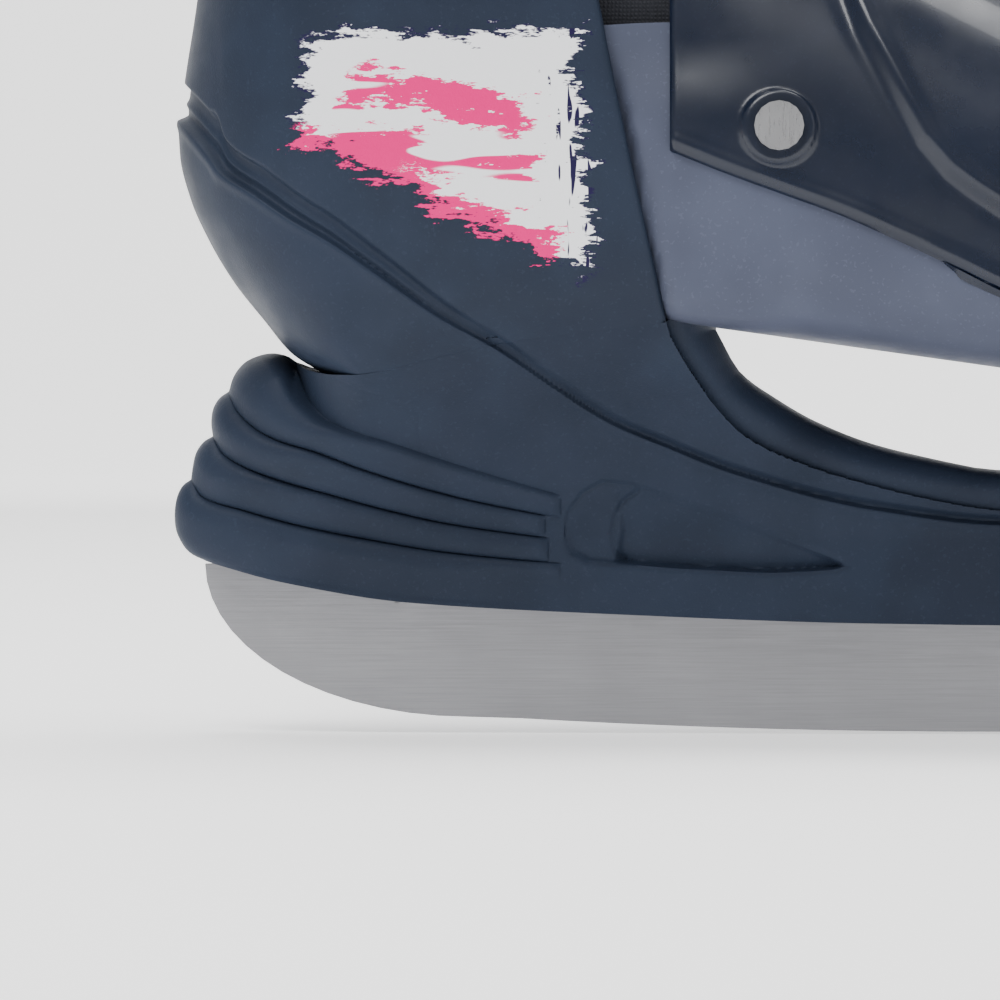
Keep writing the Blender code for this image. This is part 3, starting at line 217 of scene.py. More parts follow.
# The four ribs: the lines over and between them, from the back round to their blunt ends
RIB_LINES = (
    curve((20.3, 70.1), (23.6, 67.2), (25.8, 62.3), (29.6, 58.5), (43.1, 53.7), (56.7, 49.2), (70.9, 45.0), (80, 42.5)),
    curve((10.3, 63.6), (12.5, 59.6), (18.7, 55.2), (27.4, 52.5), (35, 49.6), (45.9, 46.1), (56.7, 43.3),
          (68.6, 40.9), (80, 38.8)),
    curve((7.2, 55.2), (9.5, 52), (16, 48.7), (29.6, 44.6), (40.5, 41.6), (51.2, 39.2), (69.2, 36.6), (80, 35.4)),
    curve((3.1, 47.1), (5.7, 43.8), (13.3, 41.6), (24.2, 38.7), (35, 36.5), (51.2, 33.8), (71.4, 31.9), (80, 31.4)),
)
RIB_ENDS = (72.5, 69.6, 70.2, 72.5)
# The silhouette of each rib, from the notch over it to the notch under it
RIB_EDGES = (
    [(20.6, 70.4), (18.6, 70.75), (16.2, 70.4), (13.3, 69.1), (11.2, 66.6), (10.2, 63.6)],
    [(10.2, 63.6), (8.4, 62.3), (7.2, 60.2), (6.9, 57.6), (7.2, 55.2)],
    [(7.2, 55.2), (5.4, 54.1), (4.0, 52.0), (3.4, 49.4), (3.1, 47.1)],
    [(3.1, 47.1), (1.5, 45.9), (0.4, 43.6), (0.0, 40.2), (0.5, 36.9), (2.4, 34.1), (5.6, 32.6)],
)
lower_edge = curve(
    (5.8, 31.9), (21.4, 28.0), (44.2, 24.4), (85.8, 22.1), (128.3, 20.6), (165, 20.2), (210, 21.2), (250, 23.4),
    (272, 26.6), (287, 31.5),
)
FRONT_EDGE = [(290.0, 33.5), (291.0, 37.0), (290.4, 41.0), (287.5, 45.0), (282.0, 48.2), (275.0, 50.0)]
window_rear = curve((101.2, 75.3), (105.8, 67.3), (112.3, 62.5), (119.9, 58.1), (130.7, 53.8), (141.5, 51.1),
                    (152, 48.9))
window_front = curve((152, 48.9), (170, 48.9), (182, 51.6), (190, 56.2), (195, 61.8))
# Where the outer side turns in towards the window
WINDOW_SHOULDER = [
    (91.6, 77.6), (92.5, 74.3), (95.0, 69.8), (98.2, 64.9), (102.6, 59.2), (109, 54.0), (119.9, 49.4), (130.7, 46.2),
    (141.5, 43.6), (152.4, 41.8), (164, 41.0), (175, 41.6), (186, 44.6), (197, 52), (204, 60.6),
]
# The scooped teardrop ahead of the ribs
SCOOP = [
    (80.2, 46.9), (76.6, 44.9), (74.0, 41.4), (73.2, 37.4), (74.4, 34.0), (77.6, 32.2), (82.5, 31.7), (93, 30.8),
    (102.4, 30.3), (110.9, 29.9), (119, 30.2), (123.6, 30.6), (125.6, 31.3), (123.6, 32.5), (120.3, 33.9),
    (111.9, 37.1), (102.4, 40.9), (93, 43.8), (85.4, 46.4),
]
SCOOP_FLOOR = [(77.6, 32.0), (82.5, 31.5), (93, 30.6), (102.4, 30.1), (110.9, 29.7), (119, 30.0), (125.8, 31.1)]
SCOOP_RING = [(86.6, 45.2), (84.2, 43.4), (82.6, 40.6), (82.0, 37.4), (82.5, 34.4), (84.4, 32.4)]
MOULD_MARK = [(31.0, 66.0), (45.5, 60.6), (46.4, 59.4), (46.2, 53.0)]
holder_front = curve((20, 287), (33.5, 290), (41, 290.4), (48.2, 282), (50.0, 275), (56, 268))


WINDOW = traced(window_rear, np.linspace(WINDOW_TOP[0], 150.0, 34))
WINDOW += traced(window_front, np.linspace(154.0, WINDOW_FRONT_X, 20))
WINDOW_SHOULDER = dense(WINDOW_SHOULDER, 1.5)


def scoop(x, z):
    """The depth of the teardrop."""
    within = inside(x, z, SCOOP)
    edge = to_line(x, z, SCOOP + SCOOP[:1])
    floor = to_line(x, z, SCOOP_FLOOR)
    tall = curve((73, 12), (85, 14), (95, 12.5), (110, 8), (120, 4.2), (126, 1.5))(x)
    lean = np.clip(floor / tall, 0, 1)
    depth = mix(3.5, 0.55, lean ** 0.75)
    depth = np.where(within, depth * step(0, 0.75, edge), 0.0)
    left_of_ring = step(84.8, 83.2, x + 0.18 * np.abs(z - 38))
    depth = depth * mix(1.0, 0.4, left_of_ring)
    outline = 0.55 * bump(edge, 0.45) * mix(0.6, 1.0, step(96, 78, x))
    ring = np.where(within, 0.5 * bump(to_line(x, z, SCOOP_RING), 0.5), 0.0)
    return depth + ring + outline


def rear_side(x, z):
    """Half width of the rear of the skate ahead of the ribs, swelling to meet the cup over it."""
    return rear_half(z) + swell(x, z)


def swell(x, z):
    return FLARE * np.clip(x - 34.0, 0, 60) * step(54, 77, z)


def dent(x, z):
    """The hollow that runs along under the cup."""
    return 1.5 * bump(z - seam(x) - 0.4, 3.6) * step(38, 60, x) * step(101, 88, x)


def side_detail(x, z):
    """What is cut into the outer sides: the groove, the teardrop and the hollow under the cup."""
    mark = 0.16 * bump(to_line(x, z, MOULD_MARK), 0.3)
    return groove_depth(x, z) + scoop(x, z) + dent(x, z) + mark


def holder_half(x, z):
    """Half width of the holder everywhere."""
    ahead = step(130, 175, x)
    half = mix(rear_side(x, z), front_half(z) * rounded((holder_front(z) - x) / 24), ahead)
    full = half - side_detail(x, z) * rounded((x - 20) / 12)
    to_window = to_line(x, z, WINDOW)
    to_shoulder = to_line(x, z, WINDOW_SHOULDER)
    band = to_window / np.maximum(to_window + to_shoulder, 0.01)
    within = inside(x, z, WINDOW_SHOULDER + [(204, 80), (101, 80)])
    share = np.where(within, band, 1.0)
    wall = mix(0.20, 0.86, rounded(share * 1.02)) * half
    lip = 0.35 * bump(to_window - 0.9, 0.9)
    inner = wall + lip
    return np.maximum(0.45, np.where(within, np.minimum(inner, full), full))


# ---------------------------------------------------------------- building blocks


def placed(x, y, z):
    return np.stack([(np.asarray(x) - MIDDLE_X) * MM, np.asarray(y) * MM, np.asarray(z) * MM], axis=-1)


def at_points(points):
    """Points in millimetres, as rows of x, y and z, in the part's frame."""
    return placed(points[..., 0], points[..., 1], points[..., 2])


def grid_faces(rows, columns):
    return [(r * columns + c, r * columns + c + 1, (r + 1) * columns + c + 1, (r + 1) * columns + c)
            for r in range(rows - 1) for c in range(columns - 1)]


def in_scene(name, data):
    obj = bpy.data.objects.new(name, data)
    bpy.context.scene.collection.objects.link(obj)
    return obj


def stand_in(obj, body, nodes):
    """Puts a piece on its body, in the place of CAD nodes."""
    if body:
        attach(obj, body)
    if nodes:
        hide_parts(*nodes)


def piece(name, points, faces, body, finish, *nodes, slot=None, smooth_angle=40, merge=0.00002):
    """A mesh in the part's frame, on its body, with its finish."""
    mesh = bpy.data.meshes.new(name)
    mesh.from_pydata([tuple(p) for p in points], [], faces)
    work = bmesh.new()
    work.from_mesh(mesh)
    bmesh.ops.remove_doubles(work, verts=work.verts, dist=merge)
    bmesh.ops.recalc_face_normals(work, faces=work.faces)
    work.to_mesh(mesh)
    work.free()
    mesh.materials.append(finish)
    mesh.shade_smooth()
    if smooth_angle < 180:
        mesh.set_sharp_from_angle(angle=math.radians(smooth_angle))
    obj = in_scene(name, mesh)
    stand_in(obj, body, nodes)
    return obj


def thicken(obj, thickness, centre):
    """Gives a sheet its thickness, inwards from the face that looks away from a point inside it."""
    total = sum((face.center - Vector(centre)).dot(face.normal) * face.area for face in obj.data.polygons)
    if total < 0:
        obj.data.flip_normals()
    solid = obj.modifiers.new("thickness", "SOLIDIFY")
    solid.thickness = thickness * MM
    solid.offset = -1.0
    graph = bpy.context.evaluated_depsgraph_get()
    mesh = bpy.data.meshes.new_from_object(obj.evaluated_get(graph))
    obj.modifiers.clear()
    obj.data = mesh
    mesh.shade_smooth()


def closed_sheet(outside, within):
    """Points and faces of a sheet from its two surfaces, closed round its edges."""
    rows, columns = outside.shape[:2]
    points = np.vstack([outside.reshape(-1, 3), within.reshape(-1, 3)])
    count = rows * columns
    faces = grid_faces(rows, columns)
    faces += [tuple(count + i for i in reversed(face)) for face in faces]
    border = list(range(columns))
    border += [row * columns + columns - 1 for row in range(1, rows)]
    border += [count - 1 - i for i in range(1, columns)]
    border += [row * columns for row in range(rows - 2, 0, -1)]
    faces += [(a, b, b + count, a + count) for a, b in zip(border, border[1:] + border[:1])]
    return points, faces


# ---------------------------------------------------------------- materials


class Nodes:
    """A short way to write a node material."""

    def __init__(self, name):
        self.material = bpy.data.materials.new(name)
        self.material.use_nodes = True
        self.tree = self.material.node_tree
        self.shader = self.tree.nodes["Principled BSDF"]
        self.place = self.tree.nodes.new("ShaderNodeTexCoord").outputs["Object"]

    def feed(self, socket, value):
        if isinstance(value, bpy.types.NodeSocket):
            self.tree.links.new(value, socket)
        else:
            socket.default_value = value

    def set(self, name, value):
        self.feed(self.shader.inputs[name], value)

    def add(self, kind, inputs=(), **settings):
        node = self.tree.nodes.new(kind)
        for key, value in settings.items():
            setattr(node, key, value)
        for key, value in dict(inputs).items():
            self.feed(node.inputs[key], value)
        return node

    def math(self, operation, a, b, clamp=False):
        return self.add("ShaderNodeMath", {0: a, 1: b}, operation=operation, use_clamp=clamp).outputs[0]

    def times(self, first, *others):
        for other in others:
            first = self.math("MULTIPLY", first, other)
        return first

    def mix(self, share, low, high):
        return self.add("ShaderNodeMix", {0: share, 6: low, 7: high}, data_type="RGBA").outputs[2]

    def noise(self, scale, detail=2.0, roughness=0.5, stretch=None):
        vector = self.place
        if stretch:
            vector = self.add("ShaderNodeMapping", {"Vector": vector, "Scale": stretch}).outputs[0]
        inputs = {"Vector": vector, "Scale": scale, "Detail": detail, "Roughness": roughness}
        return self.add("ShaderNodeTexNoise", inputs).outputs["Fac"]

    def between(self, value, low, high, out_low=0.0, out_high=1.0):
        return self.add(
            "ShaderNodeMapRange", {0: value, 1: low, 2: high, 3: out_low, 4: out_high}, clamp=True,
            interpolation_type="SMOOTHSTEP",
        ).outputs[0]

    def bump(self, height, strength, distance, normal=None):
        inputs = {"Height": height, "Strength": strength, "Distance": distance}
        if normal is not None:
            inputs["Normal"] = normal
        return self.add("ShaderNodeBump", inputs).outputs[0]


def colour(red, green, blue):
    """A display colour as the shader's linear one."""
    out = []
    for value in (red, green, blue):
        v = value / 255
        out.append(v / 12.92 if v <= 0.04045 else ((v + 0.055) / 1.055) ** 2.4)
    return (*out, 1.0)


def shaded(base, share):
    return (*(min(1.0, c * share) for c in base[:3]), 1.0)


def grained(name, base, rough, grain, strength, wear=0.12, coat=0.0, gloss=0.14):
    """Moulded plastic: a fine spark-eroded grain, faint mottling and slightly paler rubbed places."""
    n = Nodes(name)
    mottled = n.between(n.noise(38.0, 3.0, 0.55), 0.35, 0.65)
    tone = n.mix(mottled, shaded(base, 0.88), shaded(base, 1 + wear))
    speck = n.between(n.noise(0.55 * GRAIN_SCALE, 1.0), 0.62, 0.72)
    speckled = (*(min(1.0, c * 1.9 + 0.01) for c in base[:3]), 1.0)
    n.set("Base Color", n.mix(n.math("MULTIPLY", speck, 0.16), tone, speckled))
    n.set("Roughness", n.between(n.noise(90.0, 4.0), 0.3, 0.7, rough - 0.05, rough + 0.06))
    n.set("Normal", n.bump(n.noise(GRAIN_SCALE, 2.0, 0.6), strength, grain))
    n.set("Specular IOR Level", gloss)
    n.set("Coat Weight", coat)
    n.set("Coat Roughness", 0.08)
    return n


def fabric(name, base):
    """Woven cloth: two crossing sets of threads under a little fuzz."""
    n = Nodes(name)
    waves = []
    for turn in (0.0, math.pi / 2):
        vector = n.add("ShaderNodeMapping", {"Vector": n.place, "Rotation": (0.0, turn, 0.35)}).outputs[0]
        inputs = {"Vector": vector, "Scale": WEAVE_SCALE, "Distortion": 1.2, "Detail": 1.0}
        waves.append(n.add("ShaderNodeTexWave", inputs).outputs["Fac"])
    threads = n.times(*waves)
    tone = n.mix(threads, shaded(base, 0.78), shaded(base, 1.25))
    n.set("Base Color", n.mix(n.between(n.noise(22.0), 0.35, 0.7, 0.0, 0.35), tone, base))
    n.set("Roughness", 0.9)
    n.set("Sheen Weight", 0.25)
    n.set("Sheen Roughness", 0.5)
    n.set("Normal", n.bump(n.noise(900.0, 3.0), 0.25, 0.0004, n.bump(threads, 0.5, 0.0006)))
    return n


def steel(name, base, rough, along=(1.0, 60.0, 60.0)):
    """Ground steel with fine scratches along one direction."""
    n = Nodes(name)
    scratch = n.noise(60.0, 6.0, 0.7, stretch=along)
    tone = n.mix(n.between(n.noise(24.0, 3.0, 0.6), 0.3, 0.7), shaded(base, 0.93), shaded(base, 1.05))
    n.set("Base Color", n.mix(n.between(scratch, 0.35, 0.75, 0.0, 0.25), tone, shaded(base, 0.8)))
    n.set("Metallic", 1.0)
    n.set("Roughness", n.between(scratch, 0.3, 0.7, rough - 0.06, rough + 0.08))
    n.set("Normal", n.bump(scratch, 0.15, 0.00015))
    return n


GRAIN_SCALE = 2600.0
WEAVE_SCALE = 1400.0 / 3
HOLDER = grained("holder_finish", colour(36, 44, 59), 0.52, 0.00022, 0.32)
PANEL = grained("panel_finish", colour(78, 83, 100), 0.46, 0.00008, 0.12, wear=0.06)
GLOSS = grained("gloss_finish", colour(15, 24, 42), 0.3, 0.00006, 0.08, wear=0.06, coat=0.22, gloss=0.35)
CUFF = grained("cuff_finish", colour(37, 45, 60), 0.5, 0.0002, 0.28)
STRAP = grained("strap_finish", colour(24, 28, 38), 0.42, 0.00012, 0.2)
BUTTON = grained("button_finish", colour(226, 60, 150), 0.35, 0.00008, 0.1)
LINER = fabric("liner_finish", colour(44, 46, 54))
TONGUE = fabric("tongue_finish", colour(52, 55, 65))
INSOLE = fabric("insole_finish", colour(70, 74, 84))
BLADE = steel("blade_finish", (0.33, 0.33, 0.345, 1), 0.5)
METAL = steel("fastener_finish", (0.36, 0.36, 0.37, 1), 0.3, along=(40.0, 40.0, 4.0))


def splash_finish():
    """The rear shell's plastic with a printed paint splash on its outer side."""
    n = grained("shell_finish", colour(37, 45, 60), 0.5, 0.0002, 0.28)
    x, y, z = n.add("ShaderNodeSeparateXYZ", {"Vector": n.place}).outputs
    ragged = n.noise(150.0, 5.0, 0.75, stretch=(0.55, 1.0, 1.6))
    fray = n.noise(420.0, 3.0, 0.7, stretch=(0.30, 1.0, 2.2))
    wobble = n.math("ADD", n.times(n.math("SUBTRACT", ragged, 0.5), 0.020),
                    n.times(n.math("SUBTRACT", fray, 0.5), 0.007))
    xs = n.math("ADD", x, wobble)
    zs = n.math("ADD", z, n.times(wobble, 0.8))

    def strip(value, low, high, soft):
        return n.times(n.between(value, low - soft, low + soft), n.between(value, high - soft, high + soft, 1.0, 0.0))

    def over(level, soft=0.0004):
        """1 over a slanting line through the part's x = -0.09 at a level."""
        line = n.math("ADD", n.times(n.math("ADD", xs, 0.09), -0.47), level)
        return n.between(n.math("SUBTRACT", zs, line), -soft, soft)

    def until(value, low, high):
        return n.between(value, low, high, 1.0, 0.0)

    def squared(value, centre, radius):
        return n.math("POWER", n.math("DIVIDE", n.math("SUBTRACT", value, centre), radius), 2.0)

    tilted = n.math("ADD", xs, n.times(zs, 0.10))
    slits = until(n.noise(300.0, 1.0, 0.5, stretch=(2.6, 1.0, 0.45)), 0.60, 0.63)
    left = n.math("SUBTRACT", 1.0, n.between(xs, -0.0795, -0.0785))
    white = n.times(over(0.0952), until(tilted, -0.0630, -0.0624), until(zs, 0.1285, 0.1292),
                    n.math("MAXIMUM", slits, left), n.between(xs, -0.1235, -0.1225))
    rim = n.times(over(0.0944), until(tilted, -0.0622, -0.0617), until(zs, 0.1292, 0.1300),
                  n.between(xs, -0.1245, -0.1236))
    lower = n.times(n.math("SUBTRACT", over(0.0934), over(0.0972)), strip(xs, -0.1245, -0.0795, 0.0004))
    dab = until(n.math("ADD", squared(xs, -0.0800, 0.0034), squared(zs, 0.0895, 0.0020)), 0.8, 1.0)
    fork = n.between(n.noise(75.0, 2.0, 0.5, stretch=(0.30, 1.0, 2.2)), 0.47, 0.49)
    level = n.math("ADD", zs, n.times(xs, 0.20))
    streaks = n.times(strip(level, 0.0835, 0.0890, 0.0003), fork, strip(xs, -0.1180, -0.0815, 0.0004))
    upper = n.times(strip(level, 0.0940, 0.1000, 0.0003), fork, strip(xs, -0.1150, -0.0830, 0.0004))
    pink = n.math("MAXIMUM", n.math("MAXIMUM", lower, dab), n.math("MAXIMUM", streaks, upper))
    outer = n.between(y, -0.008, -0.012)

    tone = n.shader.inputs["Base Color"].links[0].from_socket
    for mask, paint in ((rim, (30, 22, 62)), (white, (246, 247, 250)), (pink, (236, 4, 120))):
        tone = n.mix(n.math("MULTIPLY", mask, outer, clamp=True), tone, colour(*paint))
    n.set("Base Color", tone)
    return n


SHELL = splash_finish()


# ---------------------------------------------------------------- holder and rear shell


def attract(x, z, line, width):
    """Draws points near a line closer to it, so that an edge modelled along it comes out crisp."""
    best, near_x, near_z = nearest(x, z, line)
    scale = np.where(best < width, (np.maximum(best, 1e-6) / width) ** (ATTRACTION - 1), 1.0)
    return near_x + (x - near_x) * scale, near_z + (z - near_z) * scale


def plan(along, z, inset, x_front):
    """The rear shell's outline at height z, inset from its outer surface."""
    turn = 0.55
    centre = heel_back(z) + heel_round(z)
    half = rear_half(z) - inset
    angle = np.clip(along / turn, 0, 1) * math.pi / 2
    x_side = mix(centre, x_front, np.clip((along - turn) / (1 - turn), 0, 1))
    y_side = half + FLARE * (x_side - centre) * (1 - step(110, 140, z))
    x = np.where(along < turn, centre - (heel_round(z) - inset) * np.cos(angle), x_side)
    return x, np.where(along < turn, half * np.sin(angle), y_side)


def cosine(count):
    return 0.5 - 0.5 * np.cos(np.pi * np.arange(count) / (count - 1))


def flush(x, z):
    """How far the front shell swells just ahead of the seam, to lie level with the rear shell."""
    start = shell_front(z) + 0.4
    return 2.7 * step(start, start + 1.4, x) * (1 - step(94, 122, x)) * (1 - step(112, 128, z))


def round_tip(x, y, z, length):
    """Closes a run of sections with a rounded end."""
    last_x, last_y, last_z = x[-1], y[-1], z[-1]
    middle = (last_z.min() + last_z.max()) / 2
    for turn in (0.35, 0.7, 1.05, 1.35, math.pi / 2):
        scale = math.cos(turn)
        x = np.vstack([x, last_x + length * math.sin(turn)])
        y = np.vstack([y, last_y * scale])
        z = np.vstack([z, middle + (last_z - middle) * scale])
    return x, y, z


def make_ladder_strap(name, body, node, rows, teeth_from, teeth_to):
    """A ladder strap over three rows of points (one edge, middle, other edge), with rounded ends."""
    low, middle, high = (np.array(row, float) for row in rows)
    lengths = lengths_along(middle)
    total = lengths[-1]
    place = np.linspace(0, total, int(total / 0.45))

    def along(row):
        return np.stack([curve(*zip(lengths, row[:, k]))(place) for k in range(3)], axis=1)

    low, middle, high = along(low), along(middle), along(high)
    ahead = np.gradient(middle, axis=0)
    ahead /= np.linalg.norm(ahead, axis=1)[:, None]
    beside = high - low
    beside /= np.linalg.norm(beside, axis=1)[:, None]
    up = np.cross(ahead, beside)
    inner_x = 60.0 if middle[:, 0].mean() < 140 else 170.0
    up *= np.sign(np.sum(up * (middle - np.array([inner_x, 0, middle[:, 2].mean() - 30])), axis=1).sum())
    up /= np.linalg.norm(up, axis=1)[:, None]
    ends = np.minimum(place + 0.2, total - place + 0.2)
    half = STRAP_HALF * np.minimum(rounded((place + 0.6) / 7.0), rounded((total - place + 0.6) / 7.0))
    w = np.concatenate([[-1, -0.975], np.linspace(-0.93, 0.93, 27), [0.975, 1]])
    pitch = 3.4
    phase = (place % pitch) / pitch
    saw = np.clip(phase / 0.72, 0, 1) * (1 - np.clip((phase - 0.8) / 0.2, 0, 1))
    toothed = step(teeth_from, teeth_from + 2, place) * (1 - step(teeth_to - 2, teeth_to, place))
    middle_band = 1 - step(0.50, 0.60, np.abs(w))
    rim = 0.35 * step(0.66, 0.72, np.abs(w)) * (1 - step(0.86, 0.95, np.abs(w)))
    edge = np.minimum(1, rounded((1 - np.abs(w)) / 0.10))
    high_side = 1.8 - 0.55 * (1 - edge) + (0.75 * saw * toothed)[:, None] * middle_band \
        + rim * (1 - step(0, 3, 6 - ends))[:, None]
    low_side = np.broadcast_to(0.05 + 0.4 * (1 - edge), high_side.shape)

    def surface(height):
        return (middle[:, None, :] + beside[:, None, :] * (half[:, None] * w[None, :])[:, :, None]
                + up[:, None, :] * height[:, :, None])

    points, faces = closed_sheet(at_points(surface(high_side)), at_points(surface(low_side)))
    piece(name, points, faces, body, STRAP.material, node, slot="strap_plastic", smooth_angle=35)


def make_straps():
    z = 226.0
    low, middle, high = [], [], []
    for edge, row in ((-STRAP_HALF, low), (0.0, middle), (STRAP_HALF, high)):
        for i in range(49):
            share = i / 48
            clear = 3.8 + mix(0.4, 2.7, float(curve((0.1, 0), (0.6, 1))(share)))
            half = float(leg_half(z + edge)) + clear
            front = float(leg_side_front(z))
            if share < 0.12:
                x, y = mix(front - 14, front, share / 0.12), half
            elif share < 0.76:
                angle = (share - 0.12) / 0.64 * math.pi
                x, y = front + (float(leg_front_reach(z)) + clear) * math.sin(angle), half * math.cos(angle)
            else:
                x, y = mix(front, front - 26, (share - 0.76) / 0.24), -half
            row.append((x, y, z + edge))
    make_ladder_strap("cuff_strap", "cuff", "cuff_ladder_strap", (low, middle, high), 70, 400)

    middle_x, reach = INSTEP_X, 12.5
    outset = COVER_GAP + COVER_THICKNESS

    def instep(x, height):
        angle = float(angle_at_height(np.array(x), np.array(height), outset))
        y, zz = toe_surface(np.array(x), np.array(angle), outset)
        return Vector((x, -float(y), float(zz)))

    start, end = instep(middle_x, INSTEP_Z[0]), instep(middle_x, INSTEP_Z[1])
    upwards = (end - start).normalized()
    away = Vector((1, 0, 0)).cross(upwards).normalized()
    if away.y > 0:
        away = -away
    proud = max((instep(middle_x + dx, mix(INSTEP_Z[0], INSTEP_Z[1], k / 8)) - start).dot(away)
                for dx in (-reach, 0, reach) for k in range(9))
    height = proud + 0.4 + 0.3 + 2.0
    lateral = [start + upwards * d + away * height for d in (13, 22, 31, 39)]
    crown = float(toe_crown(middle_x)) + outset
    medial = []
    for d in (30, 22, 12, 2):
        point = start + upwards * d + away * (proud + 0.5)
        medial.append(Vector((point.x, -point.y, point.z)))
    over = [Vector((middle_x, y, crown + 4.2 - 0.0085 * y * y)) for y in (-19, -10, 0, 10, 19)]
    route = lateral + over + medial
    lengths = [0.0]
    for a, b in zip(route, route[1:]):
        lengths.append(lengths[-1] + (b - a).length)
    ways = [curve(*zip(lengths, [point[k] for point in route])) for k in (1, 2)]
    tilt = curve((0, 0), (lengths[3], 0.001), (lengths[6], 1.0), (lengths[9], 0.001), (lengths[-1], 0.0))
    slope = float(toe_crown(middle_x + 10) - toe_crown(middle_x - 10)) / 20
    make_pad(start, upwards, away, proud)
    rows = []
    for edge in (-STRAP_HALF, 0.0, STRAP_HALF):
        rows.append([(middle_x + edge, float(ways[0](p)), float(ways[1](p)) + edge * slope * float(tilt(p)))
                     for p in np.linspace(0, lengths[-1], 70)])
    make_ladder_strap("instep_strap", "front", "instep_ladder_strap", rows, -5, 62)


def make_pad(start, upwards, away, proud):
    """The raised pad under the instep buckle, part of the cover's moulding."""
    top = start + away * (proud + 0.4) - upwards * 1.0
    beside = Vector((1, 0, 0))
    work = bmesh.new()
    corners = []
    for depth, grow in ((0.0, 0.0), (-2.2, 0.8), (-9.0, 3.6)):
        for a, b in ((0, -1), (1, -1), (1, 1), (0, 1)):
            long = -grow if a == 0 else 37 + grow
            point = top + upwards * long + beside * b * (13.5 + grow) + away * depth
            corners.append(work.verts.new(tuple(placed(point.x, point.y, point.z))))
    work.faces.new(corners[0:4])
    work.faces.new(corners[8:12][::-1])
    for k in (0, 4):
        for i in range(4):
            j = (i + 1) % 4
            work.faces.new((corners[k + i], corners[k + 4 + i], corners[k + 4 + j], corners[k + j]))
    bmesh.ops.recalc_face_normals(work, faces=work.faces)
    bmesh.ops.bevel(work, geom=work.edges[:], offset=0.0014, segments=3, profile=0.5, affect="EDGES")
    mesh = bpy.data.meshes.new("instep_pad")
    work.to_mesh(mesh)
    work.free()
    mesh.materials.append(GLOSS.material)
    mesh.shade_smooth()
    stand_in(in_scene("instep_pad", mesh), "front", ())


def seam_line(count):
    """The cup's outline where it meets the holder, as side-view points from the back to the window."""
    out = []
    for along in np.linspace(0, 1, count):
        low, high = 66.0, 78.0
        for _ in range(30):
            z = (low + high) / 2
            x, _ = plan(np.array(along), np.array(z), 0.0, shell_front(z))
            low, high = (z, high) if z < seam(x) else (low, z)
        out.append((float(x), float(seam(x))))
    return out


def lengths_along(points):
    return np.concatenate([[0], np.cumsum(np.linalg.norm(np.diff(points, axis=0), axis=1))])


def share_points(points, shares):
    """Points at shares of a line's length."""
    points = np.array(points, float)
    lengths = lengths_along(points)
    where = np.asarray(shares) * lengths[-1]
    return np.stack([np.interp(where, lengths, points[:, k]) for k in (0, 1)], axis=-1)


def resample(points, spacing):
    count = max(2, int(round(lengths_along(np.array(points, float))[-1] / spacing)) + 1)
    return share_points(points, np.linspace(0, 1, count))


